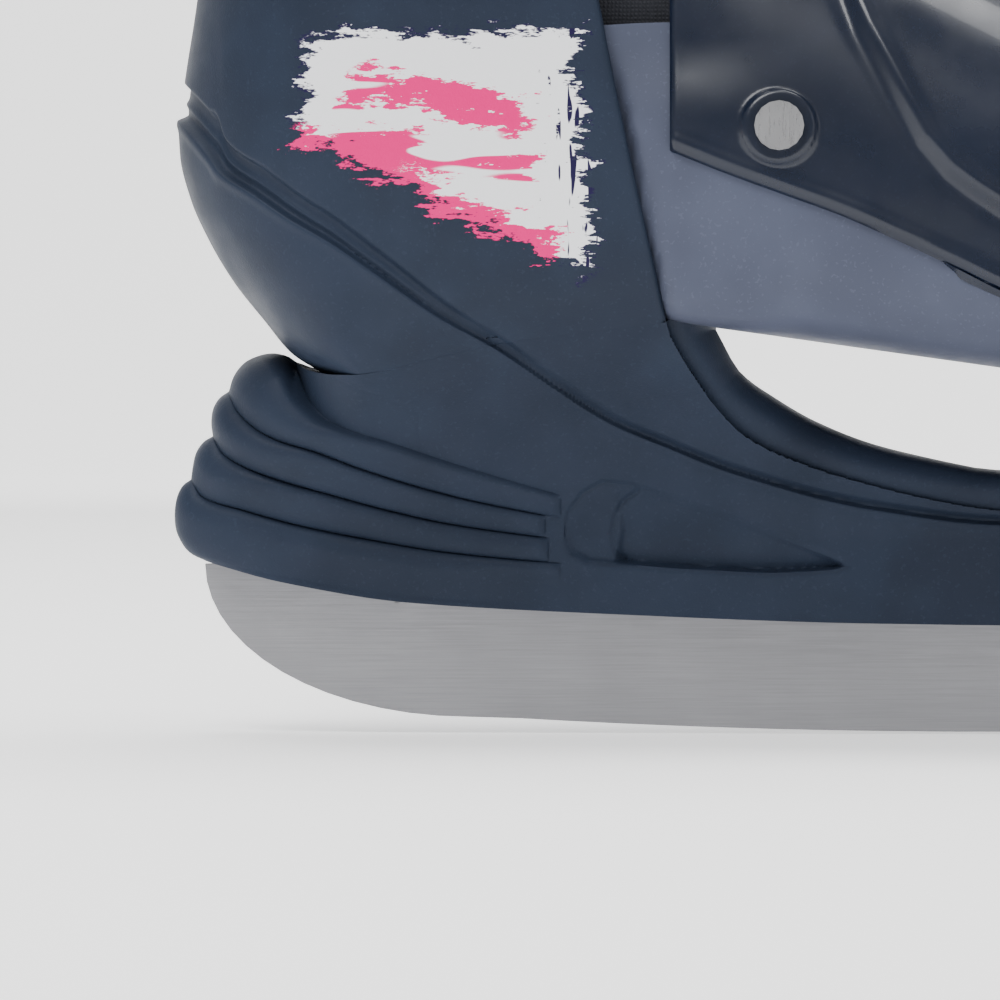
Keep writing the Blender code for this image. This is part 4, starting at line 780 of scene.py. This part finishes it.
def make_holder():
    """The holder in two patches a side, which meet on an upright line just ahead of the ribs."""
    cut_x = 73.0
    columns = 230
    seam_points = seam_line(90)
    behind = [p for p in seam_points if p[0] < cut_x - 0.3]
    cut_top = (cut_x, float(np.interp(cut_x, [p[0] for p in seam_points], [p[1] for p in seam_points])))
    share_u = np.concatenate([np.linspace(0, 0.86, columns - 40), 0.86 + 0.14 * np.linspace(0, 1, 41)[1:]])

    # Each line over a rib, from its notch to the cut
    paths = []
    for line, edge in zip(RIB_LINES, RIB_EDGES):
        start = edge[0]
        xs = np.linspace(23.6 if line is RIB_LINES[0] else start[0] + 1.2, cut_x, 80)
        paths.append(share_points([start] + traced(line, xs), share_u))
    bottom = [RIB_EDGES[-1][-1]] + traced(lower_edge, np.linspace(5.8, cut_x, 80))
    paths.append(share_points(bottom, share_u))
    top = share_points(behind + [cut_top], share_u)

    rows_x, rows_z, rows_half = [], [], []
    fine = cosine(70)[:-1]
    for share in fine:
        left = share_points([(27.8, 67.0), (24.4, 67.9), (21.6, 70.0), (20.6, 70.4)], [share])[0]
        row = mix(top, paths[0], share)
        row = row + (left - row[0]) * ((1 - share_u) ** 34)[:, None]
        x, z = row[:, 0], row[:, 1]
        rows_x.append(x)
        rows_z.append(z)
        rows_half.append(np.maximum(rear_half(z) * rounded((x - 23.0) / 14.0) + swell(x, z), 0.45))
    highs = curve((0, 2.0), (18, 2.1), (30, 2.0), (45, 1.75), (58, 1.45), (68, 1.2), (74, 1.1))
    for i in range(4):
        edge = dense(RIB_EDGES[i], 0.5)
        count = 27 if i < 3 else 40
        shares = cosine(count)
        if i == 3:
            shares = np.linspace(0, 1, count) ** 1.5
        if i < 3:
            shares = shares[:-1]
        for t in shares:
            left = share_points(edge, [t])[0]
            row = mix(paths[i], paths[i + 1], t)
            row = row + (left - row[0]) * ((1 - share_u) ** 5)[:, None]
            x, z = row[:, 0], row[:, 1]
            if i < 3:
                profile = math.sqrt(max(0.0, 1 - (2 * t - 1) ** 2))
            else:
                profile = math.sqrt(max(0.0, 1 - (1 - min(t / 0.34, 1)) ** 2)) * (1 - 0.72 * float(step(0.3, 0.9, t)))
            ends = np.clip((RIB_ENDS[i] - x) / 1.5, 0, 1) ** 0.5
            if i == 3:
                ends = mix(ends, step(73, 50, x), float(step(0.1, 0.45, t)))
            proud = highs(x) * ends * profile - 0.35 * (1 - profile) ** 3 * ends * (t < 0.9)
            half = (rear_half(z) + proud) * rounded((x - left[0]) / 21.0)
            if i == 0:
                pillar = rear_half(z) * rounded((x - 23.0) / 14.0)
                half = np.maximum(mix(pillar, half, rounded(t / 0.30)), 0.45)
            rows_x.append(x)
            rows_z.append(z)
            rows_half.append(np.maximum(half, 0.45))
    x_a, z_a, half_a = np.array(rows_x), np.array(rows_z), np.array(rows_half)

    # Ahead of the cut, rows fan out towards the window
    outer = [(cut_x, z) for z in z_a[:, -1]]
    near = resample(traced(lower_edge, np.linspace(cut_x, 132, 60)), 0.6)[1:]
    far = resample(traced(lower_edge, np.linspace(132, 287, 90)), 1.2)[1:]
    outer += [tuple(p) for p in near] + [tuple(p) for p in far]
    outer += dense(FRONT_EDGE, 1.2)
    outer = np.array(outer)
    first, second, third = len(z_a), len(z_a) + len(near), len(z_a) + len(near) + len(far)
    order = np.arange(len(outer), dtype=float)
    reach = curve((0, 0.0), (first, 0.30), (second, 0.55), (mix(second, third, 0.36), 0.66),
                  (mix(second, third, 0.62), 0.84), (len(outer) - 1, 0.99))(order)
    facing = share_points(WINDOW, reach)
    across = np.linspace(0, 1, 130)
    ahead = [p for p in seam_points if p[0] > cut_x + 0.3]
    ridge = share_points([cut_top] + ahead + [WINDOW_TOP], across)
    ridge[:, 1] += 0.6 * step(91.6, 92.4, ridge[:, 0]) * (1 - step(95.0, 101.2, ridge[:, 0]))
    dips = ridge[:, 1] - mix(cut_top[1], WINDOW_TOP[1], (ridge[:, 0] - cut_x) / (WINDOW_TOP[0] - cut_x))
    fade = np.clip(1 - order / 60, 0, 1) ** 2
    x_b = mix(outer[:, 0][:, None], facing[:, 0][:, None], across[None, :])
    z_b = mix(outer[:, 1][:, None], facing[:, 1][:, None], across[None, :]) + dips[None, :] * fade[:, None]
    x_b[0], z_b[0] = ridge[:, 0], ridge[:, 1]
    pillar_x = mix(PILLAR_FRONT_X, WINDOW_FRONT_X, across)
    x_b = np.vstack([x_b, pillar_x])
    z_b = np.vstack([z_b, sole(pillar_x) - 0.3])

    groove_line = traced(groove, np.linspace(30, 268, 200))
    scoop_line = SCOOP + SCOOP[:1]

    def settle(x, z, keep_last_column):
        nx, nz = attract(x, z, groove_line, 1.5)
        nx, nz = attract(nx, nz, scoop_line, 1.1)
        nx, nz = attract(nx, nz, SCOOP_RING, 0.9)
        if keep_last_column:
            nx[:, 1:], nz[:, 1:] = attract(nx[:, 1:], nz[:, 1:], WINDOW_SHOULDER, 1.3)
            nx[:, -1], nz[:, -1] = x[:, -1], z[:, -1]
        nx[0], nz[0] = x[0], z[0]
        low = z < lower_edge(x) + 0.02
        return np.where(low, x, nx), np.where(low, z, nz)

    xa, za = settle(x_a, z_a, False)
    # The ribs' own rows stay where they are
    keep = len(fine)
    xa[keep:], za[keep:] = x_a[keep:], z_a[keep:]
    detail = side_detail(xa, za) * rounded((xa - 24) / 12)
    detail[keep + 2:] = 0
    half_a = np.maximum(half_a - detail, 0.45)
    xb, zb = settle(x_b, z_b, True)
    xb[:len(z_a), 0], zb[:len(z_a), 0] = xa[:, -1], za[:, -1]
    half_b = holder_half(xb, zb)
    half_b[:len(z_a), 0] = half_a[:, -1]

    points, faces = [], []
    count = 0
    for x, z, half in ((xa, za, half_a), (xb, zb, half_b)):
        for sign in (-1, 1):
            points.append(placed(x, sign * half, z).reshape(-1, 3))
            patch = grid_faces(*x.shape)
            faces += [tuple(count + i for i in (face if sign < 0 else reversed(face))) for face in patch]
            count += x.size
    # The rim that joins the two sides
    ra, ca = xa.shape
    rb, cb = xb.shape
    na, nb = xa.size, xb.size

    def left_a(r, c):
        return r * ca + c

    def left_b(r, c):
        return 2 * na + r * cb + c

    rim = [left_a(0, c) for c in range(ca)] + [left_b(0, c) for c in range(1, cb)]
    rim += [left_b(r, cb - 1) for r in range(1, rb)]
    rim += [left_b(rb - 1, c) for c in range(cb - 2, -1, -1)]
    rim += [left_b(r, 0) for r in range(rb - 2, ra - 2, -1)]
    rim += [left_a(ra - 1, c) for c in range(ca - 2, -1, -1)]
    rim += [left_a(r, 0) for r in range(ra - 2, 0, -1)]
    for a, b in zip(rim, rim[1:] + rim[:1]):
        shift_a = na if a < 2 * na else nb
        shift_b = na if b < 2 * na else nb
        faces.append((a, b, b + shift_b, a + shift_a))
    piece("holder", np.vstack(points), faces, "chassis", HOLDER.material, "blade_holder",
          slot="holder_plastic", smooth_angle=50, merge=0.00001)


def make_rear_shell():
    columns, rows = 520, 260
    sides = np.linspace(-1, 1, columns)
    along = np.abs(sides)
    line = seam_line(200)
    bottom_z = np.interp(along, np.linspace(0, 1, 200), [p[1] for p in line])
    top_z = shell_top(along)
    levels = np.linspace(0, 1, rows)
    # Rows lie closer together where the groove is
    levels = mix(levels, levels ** 2, 0.45)
    z = mix(bottom_z[None, :], top_z[None, :], levels[:, None])
    side = np.broadcast_to(along[None, :], z.shape)
    x, _ = plan(side, z, 0.0, shell_front(z))
    s = above_groove(x, z)
    slope = groove(x + 0.5) - groove(x - 0.5)
    close = np.where(np.abs(s) < 1.6, s * (np.maximum(np.abs(s), 1e-6) / 1.6) ** 0.4, s)
    hold = step(0, 2.0, z - bottom_z[None, :])
    z = z + (close - s) * np.sqrt(1 + slope * slope) * hold
    x, _ = plan(side, z, 0.0, shell_front(z))
    edge = np.minimum(top_z[None, :] - z, np.where(side > 0.6, shell_front(z) - x, 99))
    inset = groove_depth(x, z) + dent(x, z)
    inset = inset + 1.0 * (1 - rounded(edge / 1.3))
    # The size button's pocket, on the inner side
    to_button = np.hypot(x - BUTTON_X, z - BUTTON_Z)
    inset = inset + 1.75 * (1 - step(7.5, 8.1, to_button)) * (sides[None, :] > 0)
    front = shell_front(z)
    xo, yo = plan(side, z, inset, front)
    xi, yi = plan(side, z, SHELL_WALL, front)
    sign = np.sign(sides)[None, :]
    points, faces = closed_sheet(placed(xo, yo * sign, z), placed(xi, yi * sign, z))
    piece("rear_shell", points, faces, "chassis", SHELL.material, "heel_shell", slot="shell_plastic", smooth_angle=60)


# ---------------------------------------------------------------- front shell and its cover

toe_half = curve(
    (56, 34.0), (93, 36.1), (112, 40.0), (135, 44.5), (160, 48.5), (190, 51.5), (215, 52.5), (240, 50.5), (260, 45.5),
    (275, 38.0), (286, 28.0), (293, 17.0), (296.4, 7.0),
)
toe_rise = curve((240, 0), (258, 1.5), (272, 5.0), (284, 10.0), (292, 15), (296.4, 20))
toe_crown = curve(
    (56, 178), (93, 170), (110, 160.5), (130, 150.5), (150, 141), (170, 132), (190, 124.5), (210, 118), (230, 112),
    (250, 105.5), (265, 98.5), (278, 91), (288, 83.5), (293, 79), (296.4, 75),
)
toe_waist = curve((56, 26), (93, 24), (160, 20), (240, 17), (272, 14), (290, 8), (296.4, 3.5))
cover_line = curve(
    (88, 109.5), (93.4, 107.3), (102.2, 103.7), (112.6, 99.8), (123, 95.9), (133.3, 91.2), (143.7, 86.1),
    (152.4, 81.6), (175, 72.5), (205, 67.5), (240, 64), (275, 64), (300, 66),
)
TOE_MIDDLE = (0.03, 0, 0.09)
# The raised field over the instep, with a rolled rim
RIM = [
    (112, 190), (116, 165), (121, 146), (127, 130), (133.0, 118.0), (137.5, 109.4), (142.4, 103.6), (146.3, 100.5),
    (152.2, 96.6), (165, 89.5), (185, 80.5), (205, 75.5), (240, 73), (280, 75),
]
inner_top = curve((40, 126), (93, 131), (130, 128), (165, 117), (196, 108), (228, 104))
STATIONS = np.concatenate([
    np.linspace(82, 262, 150), np.linspace(263.5, 288, 22), [289.5, 291, 292.3, 293.5, 294.5, 295.3, 295.9, 296.4],
])


def toe_surface(x, angle, outset):
    """A point of the front shell: angle runs from -90 under the middle over 0 at the side to 90 on the crown."""
    low = sole(x) + toe_rise(x) - outset - 1.0 * bump(x - 143, 26)
    crown = toe_crown(x) + outset
    middle = np.maximum(low + 2.0, sole(x) + toe_rise(x) + toe_waist(x))
    half = toe_half(x) + outset
    across, up = np.cos(angle), np.sin(angle)
    power = np.where(up > 0, 2 / 2.35, 2 / corner(x))
    y = half * np.abs(across) ** power
    reach = np.where(up > 0, crown - middle, middle - low)
    return y, middle + reach * np.sign(up) * np.abs(up) ** power


def corner(x):
    """How square the front shell's lower edge is."""
    return mix(11.0, 3.7, step(94, 118, x))


def angle_at_height(x, z, outset):
    middle = sole(x) + toe_rise(x) + toe_waist(x)
    low = sole(x) + toe_rise(x) - outset
    crown = toe_crown(x) + outset
    above = np.clip((z - middle) / (crown - middle), 0, 1) ** (2.35 / 2)
    below = np.clip((middle - z) / np.maximum(middle - low, 0.1), 0, 1) ** (corner(x) / 2)
    return np.where(z > middle, np.arcsin(above), -np.arcsin(below))


def angle_at_width(x, y, outset):
    return np.arccos(np.clip(y / (toe_half(x) + outset), 0, 1) ** (2.35 / 2))


def both_sides(name, x, y, z, body, finish, nodes, thickness, centre):
    """A strip of one side and its mirror image, joined where they meet on the middle."""
    left = placed(x, -y, z).reshape(-1, 3)
    right = placed(x, y, z).reshape(-1, 3)
    faces = grid_faces(*x.shape)
    faces += [tuple(len(left) + i for i in reversed(face)) for face in faces]
    obj = piece(name, np.vstack([left, right]), faces, None, finish, merge=0.00006)
    thicken(obj, thickness, centre)
    obj.data.set_sharp_from_angle(angle=math.radians(60))
    stand_in(obj, body, nodes)
    return obj


def make_front_shell():
    columns = 110
    stations = np.concatenate([[56.5, 62, 70, 78, 81], STATIONS])
    x = np.repeat(stations[:, None], columns, axis=1)
    top = np.where(stations < 231, angle_at_height(stations, inner_top(stations), 0.0), math.pi / 2)
    top = mix(top, math.pi / 2, step(222, 232, stations))
    spread = np.linspace(0, 1, columns)[None, :]
    angle = mix(-math.pi / 2, top[:, None], spread)
    y, z = toe_surface(x, angle, 0.0)
    y = y + flush(x, z)
    # The tail inside the rear shell rides over the holder's top
    floor = sole(x) + 3.6 * (1 - step(90.6, 91.4, x))
    z = np.maximum(z, floor)
    y = np.where(np.abs(angle) > math.pi / 2 - 1e-6, 0.0, y)
    x, y, z = round_tip(x, y, z, 1.2)
    both_sides("front_shell", x, y, z, "front", PANEL.material, ["toe_shell"], 2.6, TOE_MIDDLE)


def rim_raise(x, z):
    """The cover's raised field: a step with a rolled rim along its lower and rear edge."""
    away = to_line(x, z, RIM)
    beyond = inside(x, z, RIM + [(300, 75), (300, 260), (112, 260)])
    signed = np.where(beyond, away, -away)
    boss = 1.3 * (1 - step(6.2, 7.4, np.hypot(x - 112, z - 112)))
    return np.maximum(1.3 * step(-1.2, 1.2, signed), boss) + 0.6 * bump(signed - 2.0, 1.4) \
        - 0.2 * bump(signed + 1.9, 1.2)


def make_cover():
    columns = 190
    reach = COVER_GAP + COVER_THICKNESS
    stations = np.concatenate([np.linspace(92.4, 262, 300), STATIONS[STATIONS > 262.5]])
    shift = 2.1 * step(270, 296.4, stations)
    low = angle_at_height(stations, cover_line(stations), reach)
    high = angle_at_width(stations, ENTRY_HALF, reach)
    past = np.clip(stations - ENTRY_END_X, 0, None)
    width = np.sqrt(np.clip(ENTRY_HALF ** 2 - past ** 2, 0, None))
    high = np.where(stations > ENTRY_END_X, angle_at_width(stations, width, reach), high)
    spread = np.linspace(0, 1, columns)
    spread = spread * 0.6 + 0.4 * spread ** 2
    angle = mix(low[:, None], high[:, None], spread[None, :])
    x = np.repeat(stations[:, None], columns, axis=1)
    _, z0 = toe_surface(x, angle, reach)
    away = to_line(x, z0, traced(cover_line, np.linspace(88, 300, 60)))
    roll = -1.1 * (1 - rounded(away / 1.5)) + 0.4 * bump(away - 2.2, 1.3)
    entry = (high[:, None] - angle) * 45
    rear = x - 92.4
    edge_roll = 0.5 * bump(entry - 3.0, 1.6) - 0.9 * (1 - rounded(np.minimum(entry, rear) / 1.3))
    body = step(292, 274, x)
    outset = mix(reach, 1.5 + rim_raise(x, z0), body) + (roll + edge_roll) * step(296, 285, x)
    y, z = toe_surface(x, angle, outset)
    y = y + flush(x, z) * step(90, 91, x)
    y = np.where(np.abs(angle) > math.pi / 2 - 1e-4, 0.0, y)
    x = x + shift[:, None]
    x, y, z = round_tip(x, y, z, 0.6)
    both_sides("instep_overlay", x, y, z, "front", GLOSS.material, ["instep_cover"], 1.6, TOE_MIDDLE)


# ---------------------------------------------------------------- cuff, liner and tongue

leg_back = curve((140, 4.5), (165, 7.0), (185, 9.5), (215, 11.0), (250, 8.0), (282, 4.0))
leg_half = curve((140, 37.2), (180, 37.4), (215, 39.5), (250, 42.5), (282, 44.0))
leg_side_front = curve((140, 78), (180, 79), (282, 80))
leg_front_reach = curve((140, 25), (180, 27), (215, 31), (282, 36))


def band(lower, upper, rows, columns):
    """A sheet round the leg: each point's place from the back (0) to the front edges (-1, 1), its share of the height,
    and its height."""
    sides = np.linspace(-1, 1, columns)[None, :]
    share = np.linspace(0, 1, rows)[:, None]
    z = mix(lower(np.abs(sides)), upper(np.abs(sides)), share)
    return np.broadcast_to(sides, z.shape), share, z


def leg_point(side, z, outset, wrap):
    along = np.abs(side)
    rear_turn, front_turn = 0.42, 0.62
    half = leg_half(z) + outset
    centre = leg_back(z) + 34.0
    angle = np.clip(along / rear_turn, 0, 1) * math.pi / 2
    x = centre - (34.0 + outset) * np.cos(angle)
    y = half * np.sin(angle)
    straight = mix(centre, leg_side_front(z), np.clip((along - rear_turn) / (front_turn - rear_turn), 0, 1))
    x = np.where(along < rear_turn, x, straight)
    y = np.where(along < rear_turn, y, half)
    turn = np.clip((along - front_turn) / (1 - front_turn), 0, 1) * wrap
    x = np.where(along > front_turn, leg_side_front(z) + (leg_front_reach(z) + outset) * np.sin(turn), x)
    y = np.where(along > front_turn, half * np.cos(turn), y)
    return x, np.copysign(y, side)


def make_cuff():
    lower = curve((0, 159), (0.25, 157), (0.36, 148), (0.46, 142), (0.58, 143), (0.68, 160), (0.8, 184), (1, 202))
    upper = curve((0, 268), (0.4, 263), (0.7, 256), (1, 249))
    rows, columns = 110, 260
    wrap = math.radians(62)
    side, _, z = band(lower, upper, rows, columns)
    along = np.abs(side)
    x, _ = leg_point(side, z, 0.8, wrap)
    edge = np.minimum(z - lower(along), upper(along) - z)
    edge = np.minimum(edge, (1 - along) * 70)
    bead = 0.7 * bump(edge - 3.2, 1.3)
    spine = 1.0 * step(0.16, 0.12, along) * step(4, 9, edge)
    flutes = 0.9 * step(0.20, 0.24, along) * step(0.40, 0.36, along) * step(6, 9, edge)
    flutes = flutes * (0.5 - 0.5 * np.cos((z - 0.35 * x) * 2 * math.pi / 11.0)) ** 3
    outset = 3.8 + bead + spine - flutes - 0.8 * (1 - rounded(edge / 1.2))
    xo, yo = leg_point(side, z, outset, wrap)
    obj = piece("ankle_cuff", placed(xo, yo, z).reshape(-1, 3), grid_faces(rows, columns), None, CUFF.material)
    thicken(obj, 2.7, (-0.09, 0, 0.21))
    stand_in(obj, "cuff", ["cuff"])


def pillow(share, edge):
    """Fullness across a pad: 0 at its edges, 1 inside."""
    return rounded(np.minimum(share, 1 - share) / edge)


def make_liner():
    """The shaft's padded collar, with sewn channels."""
    lower = curve((0, 184), (0.5, 183), (0.66, 184), (1, 196))
    upper = curve((0, 279), (0.5, 274), (1, 265))
    side, share, z = band(lower, upper, 90, 220)
    roll = np.sqrt(np.clip(1 - ((share - 0.925) / 0.075) ** 2, 0, 1)) * (share > 0.85)
    seam_at = 0.9 * bump((share - 0.845) * 90, 1.2)
    channels = 0.8 * bump(np.minimum(np.abs(np.abs(side) - 0.22), np.abs(np.abs(side) - 0.45)) * 140, 1.3)
    channels = channels * step(0.86, 0.82, share) * step(0.1, 0.2, share)
    ends = pillow((side + 1) / 2, 0.015)
    full = pillow(share + 0 * side, 0.02) * ends
    outer = -5.2 + (4.6 + 2.4 * roll - seam_at - channels * 0.5) * full
    inner = -5.4 - (0.6 + 2.0 * roll + 0.4 * np.sin(share * 9) ** 2 - seam_at) * full
    wrap = math.radians(52)
    xo, yo = leg_point(side, z, outer, wrap)
    xi, yi = leg_point(side, z, inner, wrap)
    points, faces = closed_sheet(placed(xo, yo, z), placed(xi, yi, z))
    obj = piece("liner_collar", points, faces, "cuff", LINER.material, "liner_ankle", slot="liner_fabric")


def make_foot_liner():
    """The padded boot round the foot: it bridges the rear shell and the sliding front shell."""
    columns, behind = 56, 34
    inset, front_x, outset = 9.6, 90.0, -3.8
    v = np.linspace(0, 1, columns)[None, :]
    s = 1 - np.cos(np.linspace(0, math.pi / 2, behind))
    ahead = np.concatenate([np.linspace(92, 280, 64), [283, 285.5, 287, 288]])
    s_all = np.concatenate([s, np.ones(len(ahead))])[:, None]
    shift = np.concatenate([np.zeros(behind), ahead - front_x])[:, None]
    top = curve((0, 168), (0.5, 171), (0.8, 168), (1, 150))(s_all)
    top = mix(top, 128, step(0, 14, shift))
    wall = np.clip((v - 0.18) / 0.82, 0, 1)
    flat = np.clip(v / 0.18, 0, 1)
    floor = 82.0 + 0 * s_all
    for _ in range(3):
        x0, _ = plan(s_all, floor + 1.5, inset + 5.0, front_x)
        floor = sole(x0 + shift) + 7.0
    level = mix(floor, top, wall)
    tuck = 5.0 * np.clip(1 - wall / 0.15, 0, 1) ** 2
    xr, yr = plan(s_all, level, inset + tuck, front_x)
    xr, yr = xr + shift, yr * np.where(v < 0.18, flat, 1.0)
    zr = level
    stations = np.concatenate([np.full(behind, front_x), ahead])[:, None]
    brim = np.minimum(inner_top(stations) - 5, toe_crown(stations) - 9)
    top_angle = np.where(stations > 205, math.pi / 2, angle_at_height(stations, brim, outset))
    angle = mix(-math.pi / 2, top_angle, v)
    xt = stations + 0 * v
    yt, zt = toe_surface(xt, angle, outset)
    zt = np.maximum(zt, sole(xt) + np.maximum(6.8, toe_rise(xt) + 3.8))
    share = np.concatenate([np.zeros(behind), step(90, 104, ahead)])[:, None]
    x, y, z = mix(xr, xt, share), mix(yr, yt, share), mix(zr, zt, share)
    y = np.where(v < 1e-6, 0.0, y)
    y = np.where((v > 1 - 1e-6) & (stations > 205) & (share > 0.5), 0.0, y)
    x, y, z = round_tip(x, y, z, 1.0)
    obj = both_sides("liner_foot", x, y, z, None, LINER.material, ["liner_heel", "liner_toe"], 4.4,
                     (-0.01, 0, 0.1))
    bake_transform(obj)


def make_tongue():
    """One padded tongue from the instep up the shin, bending at the ankle."""
    centre = [(198, 110.5), (182, 117.2), (168, 123.6), (152, 131.4), (138, 138.6), (126, 146.2), (117, 156.0),
              (110.5, 168.0), (106.5, 182.0), (105.0, 198.0), (105.8, 216.0), (108.0, 236.0), (111.5, 256.0),
              (115.5, 273.0), (118.6, 284.6)]
    path = np.array(dense(centre, 1.2))
    tangent = np.gradient(path, axis=0)
    tangent /= np.linalg.norm(tangent, axis=1)[:, None]
    normal = np.stack([tangent[:, 1], -tangent[:, 0]], axis=1)
    rows, columns = len(path), 60
    share = np.linspace(0, 1, rows)[:, None]
    across = np.linspace(-1, 1, columns)[None, :]
    half = curve((0, 24), (0.15, 26), (0.42, 24.0), (0.6, 25.0), (0.9, 28.5), (1, 28.5))(share)
    half = half * mix(0.35, 1, rounded((1 - share) / 0.085)) * mix(0.6, 1, rounded(share / 0.05))
    sag = curve((0, 7), (0.4, 7.5), (0.7, 9.5), (1, 11))(share)
    full = rounded((1 - np.abs(across)) / 0.13) * rounded(np.minimum(share, 1 - share) / 0.025)
    quilt = sum(bump((share - at - 0.025 * (1 - np.abs(across))) * 75, 1.0)
                for at in (0.24, 0.31, 0.38, 0.45, 0.52, 0.59, 0.66, 0.73))
    quilt = quilt * (1 - step(0.60, 0.70, np.abs(across)))
    edge_seam = bump((np.abs(across) - 0.76) * 26, 0.9) + bump((share - 0.90) * 60, 0.9) * (np.abs(across) < 0.76)
    puff = 3.4 * full * (1 - 0.36 * np.clip(quilt, 0, 1) - 0.42 * np.clip(edge_seam, 0, 1)) + 0.12
    binding = 0.9 * bump((np.abs(across) - 0.95) * 26, 1.0) * full

    def surface(rise):
        drop = -sag * across ** 2 + rise
        return placed(path[:, 0][:, None] + normal[:, 0][:, None] * drop, half * across + 0 * drop,
                      path[:, 1][:, None] + normal[:, 1][:, None] * drop)

    points, faces = closed_sheet(surface(puff + binding - 2.0), surface(-2.5 - 0.55 * puff - binding))
    obj = piece("tongue_pad", points, faces, None, TONGUE.material, smooth_angle=180)
    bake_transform(obj)
    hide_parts("tongue_lower", "tongue_upper")


# ---------------------------------------------------------------- buckles, straps and the rest


def make_rest():
    """Finishes the CAD nodes that stay, and rounds the edges that show."""
    finishes = {"size_button": BUTTON, "blade": BLADE, "footbed": INSOLE}
    fasteners = ["slide_bolt", "slide_washer", "button_spring", "blade_bolt_rear", "blade_bolt_front",
                 "instep_strap_rivet", "cuff_strap_rivet"]
    for side in ("lateral", "medial"):
        fasteners += [f"{name}_{side}" for name in ("holder_screw", "cuff_rivet", "cover_rivet")]
    for buckle in ("cuff_buckle", "instep_buckle"):
        fasteners += [f"{buckle}_{name}" for name in ("base", "pin", "rivet")]
        finishes[f"{buckle}_lever"] = finishes[f"{buckle}_pawl"] = STRAP
    finishes.update(dict.fromkeys(fasteners, METAL))
    for node, finish in finishes.items():
        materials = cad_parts[node].data.materials
        materials.clear()
        materials.append(finish.material)
    for node, width in (("cuff_buckle_lever", 0.8), ("instep_buckle_lever", 0.8), ("cuff_buckle_base", 0.4),
                        ("instep_buckle_base", 0.4), ("blade", 0.2), ("cover_rivet_lateral", 0.4),
                        ("cover_rivet_medial", 0.4), ("cuff_rivet_lateral", 0.6), ("cuff_rivet_medial", 0.6)):
        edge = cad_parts[node].modifiers.new("edges", "BEVEL")
        edge.width = width * MM
        edge.segments = 2
        edge.limit_method = "ANGLE"
        edge.angle_limit = math.radians(40)
        edge.harden_normals = False


# ---------------------------------------------------------------- floor, light and camera


def stage():
    """A pale floor that curves up into a wall, and an even white sky."""
    floor_mesh = bpy.data.meshes.new("floor")
    profile = [(-3.0, 0.0), (2.0, 0.0)]
    angles = np.linspace(-math.pi / 2, 0, 14)
    profile += [(2.0 + 1.2 * math.cos(a), 1.2 + 1.2 * math.sin(a)) for a in angles]
    profile += [(3.2, 4.0)]
    points = [(x, y, z - 0.0004) for y, z in profile for x in (-4.0, 4.0)]
    faces = [(i, i + 1, i + 3, i + 2) for i in range(0, 2 * len(profile) - 2, 2)]
    floor_mesh.from_pydata(points, [], faces)
    floor_mesh.shade_smooth()
    finish = bpy.data.materials.new("floor_finish")
    finish.use_nodes = True
    inputs = finish.node_tree.nodes["Principled BSDF"].inputs
    for name, value in (("Base Color", (0.93, 0.93, 0.93, 1)), ("Roughness", 0.9), ("Specular IOR Level", 0.1),
                        ("Emission Color", (1, 1, 1, 1)), ("Emission Strength", 0.6)):
        inputs[name].default_value = value
    floor_mesh.materials.append(finish)
    in_scene("floor", floor_mesh)

    world = bpy.data.worlds.new("studio")
    bpy.context.scene.world = world
    world.use_nodes = True
    sky = world.node_tree.nodes["Background"].inputs
    sky["Color"].default_value = (1, 1, 1, 1)
    sky["Strength"].default_value = 0.5


def area_light(name, place, target, size, power):
    light = bpy.data.lights.new(name, "AREA")
    light.shape = "RECTANGLE"
    light.size, light.size_y = size
    light.energy = power
    obj = in_scene(name, light)
    obj.location = place
    obj.rotation_euler = (Vector(target) - Vector(place)).to_track_quat("-Z", "Y").to_euler()


def lights_and_camera():
    middle = (-0.03, 0, 0.09)
    area_light("key", (-0.6, -1.0, 1.6), middle, (0.9, 0.7), 24)
    area_light("fill", (1.2, -1.2, 0.8), middle, (1.0, 1.2), 3)
    area_light("top", (0.0, 0.3, 1.8), middle, (1.4, 0.9), 34)
    area_light("back", (0.0, 1.6, 1.0), (0, 2.5, 0.8), (2.5, 1.2), 20)
    data = bpy.data.cameras.new("camera")
    data.sensor_width = 36.0
    data.lens = 233.0
    camera = in_scene("camera", data)
    azimuth, elevation, distance = math.radians(1.0), math.radians(1.6), 1.2
    target = Vector((-0.0888, -0.012, 0.0436))
    back = Vector((math.sin(azimuth) * math.cos(elevation), -math.cos(azimuth) * math.cos(elevation),
                   math.sin(elevation)))
    camera.location = target + back * distance
    camera.rotation_euler = (-back).to_track_quat("-Z", "Y").to_euler()
    data.clip_start, data.clip_end = 0.05, 50
    bpy.context.scene.camera = camera


make_holder()
make_rear_shell()
make_front_shell()
make_cover()
make_cuff()
make_liner()
make_foot_liner()
make_tongue()
make_straps()
make_rest()
stage()
lights_and_camera()
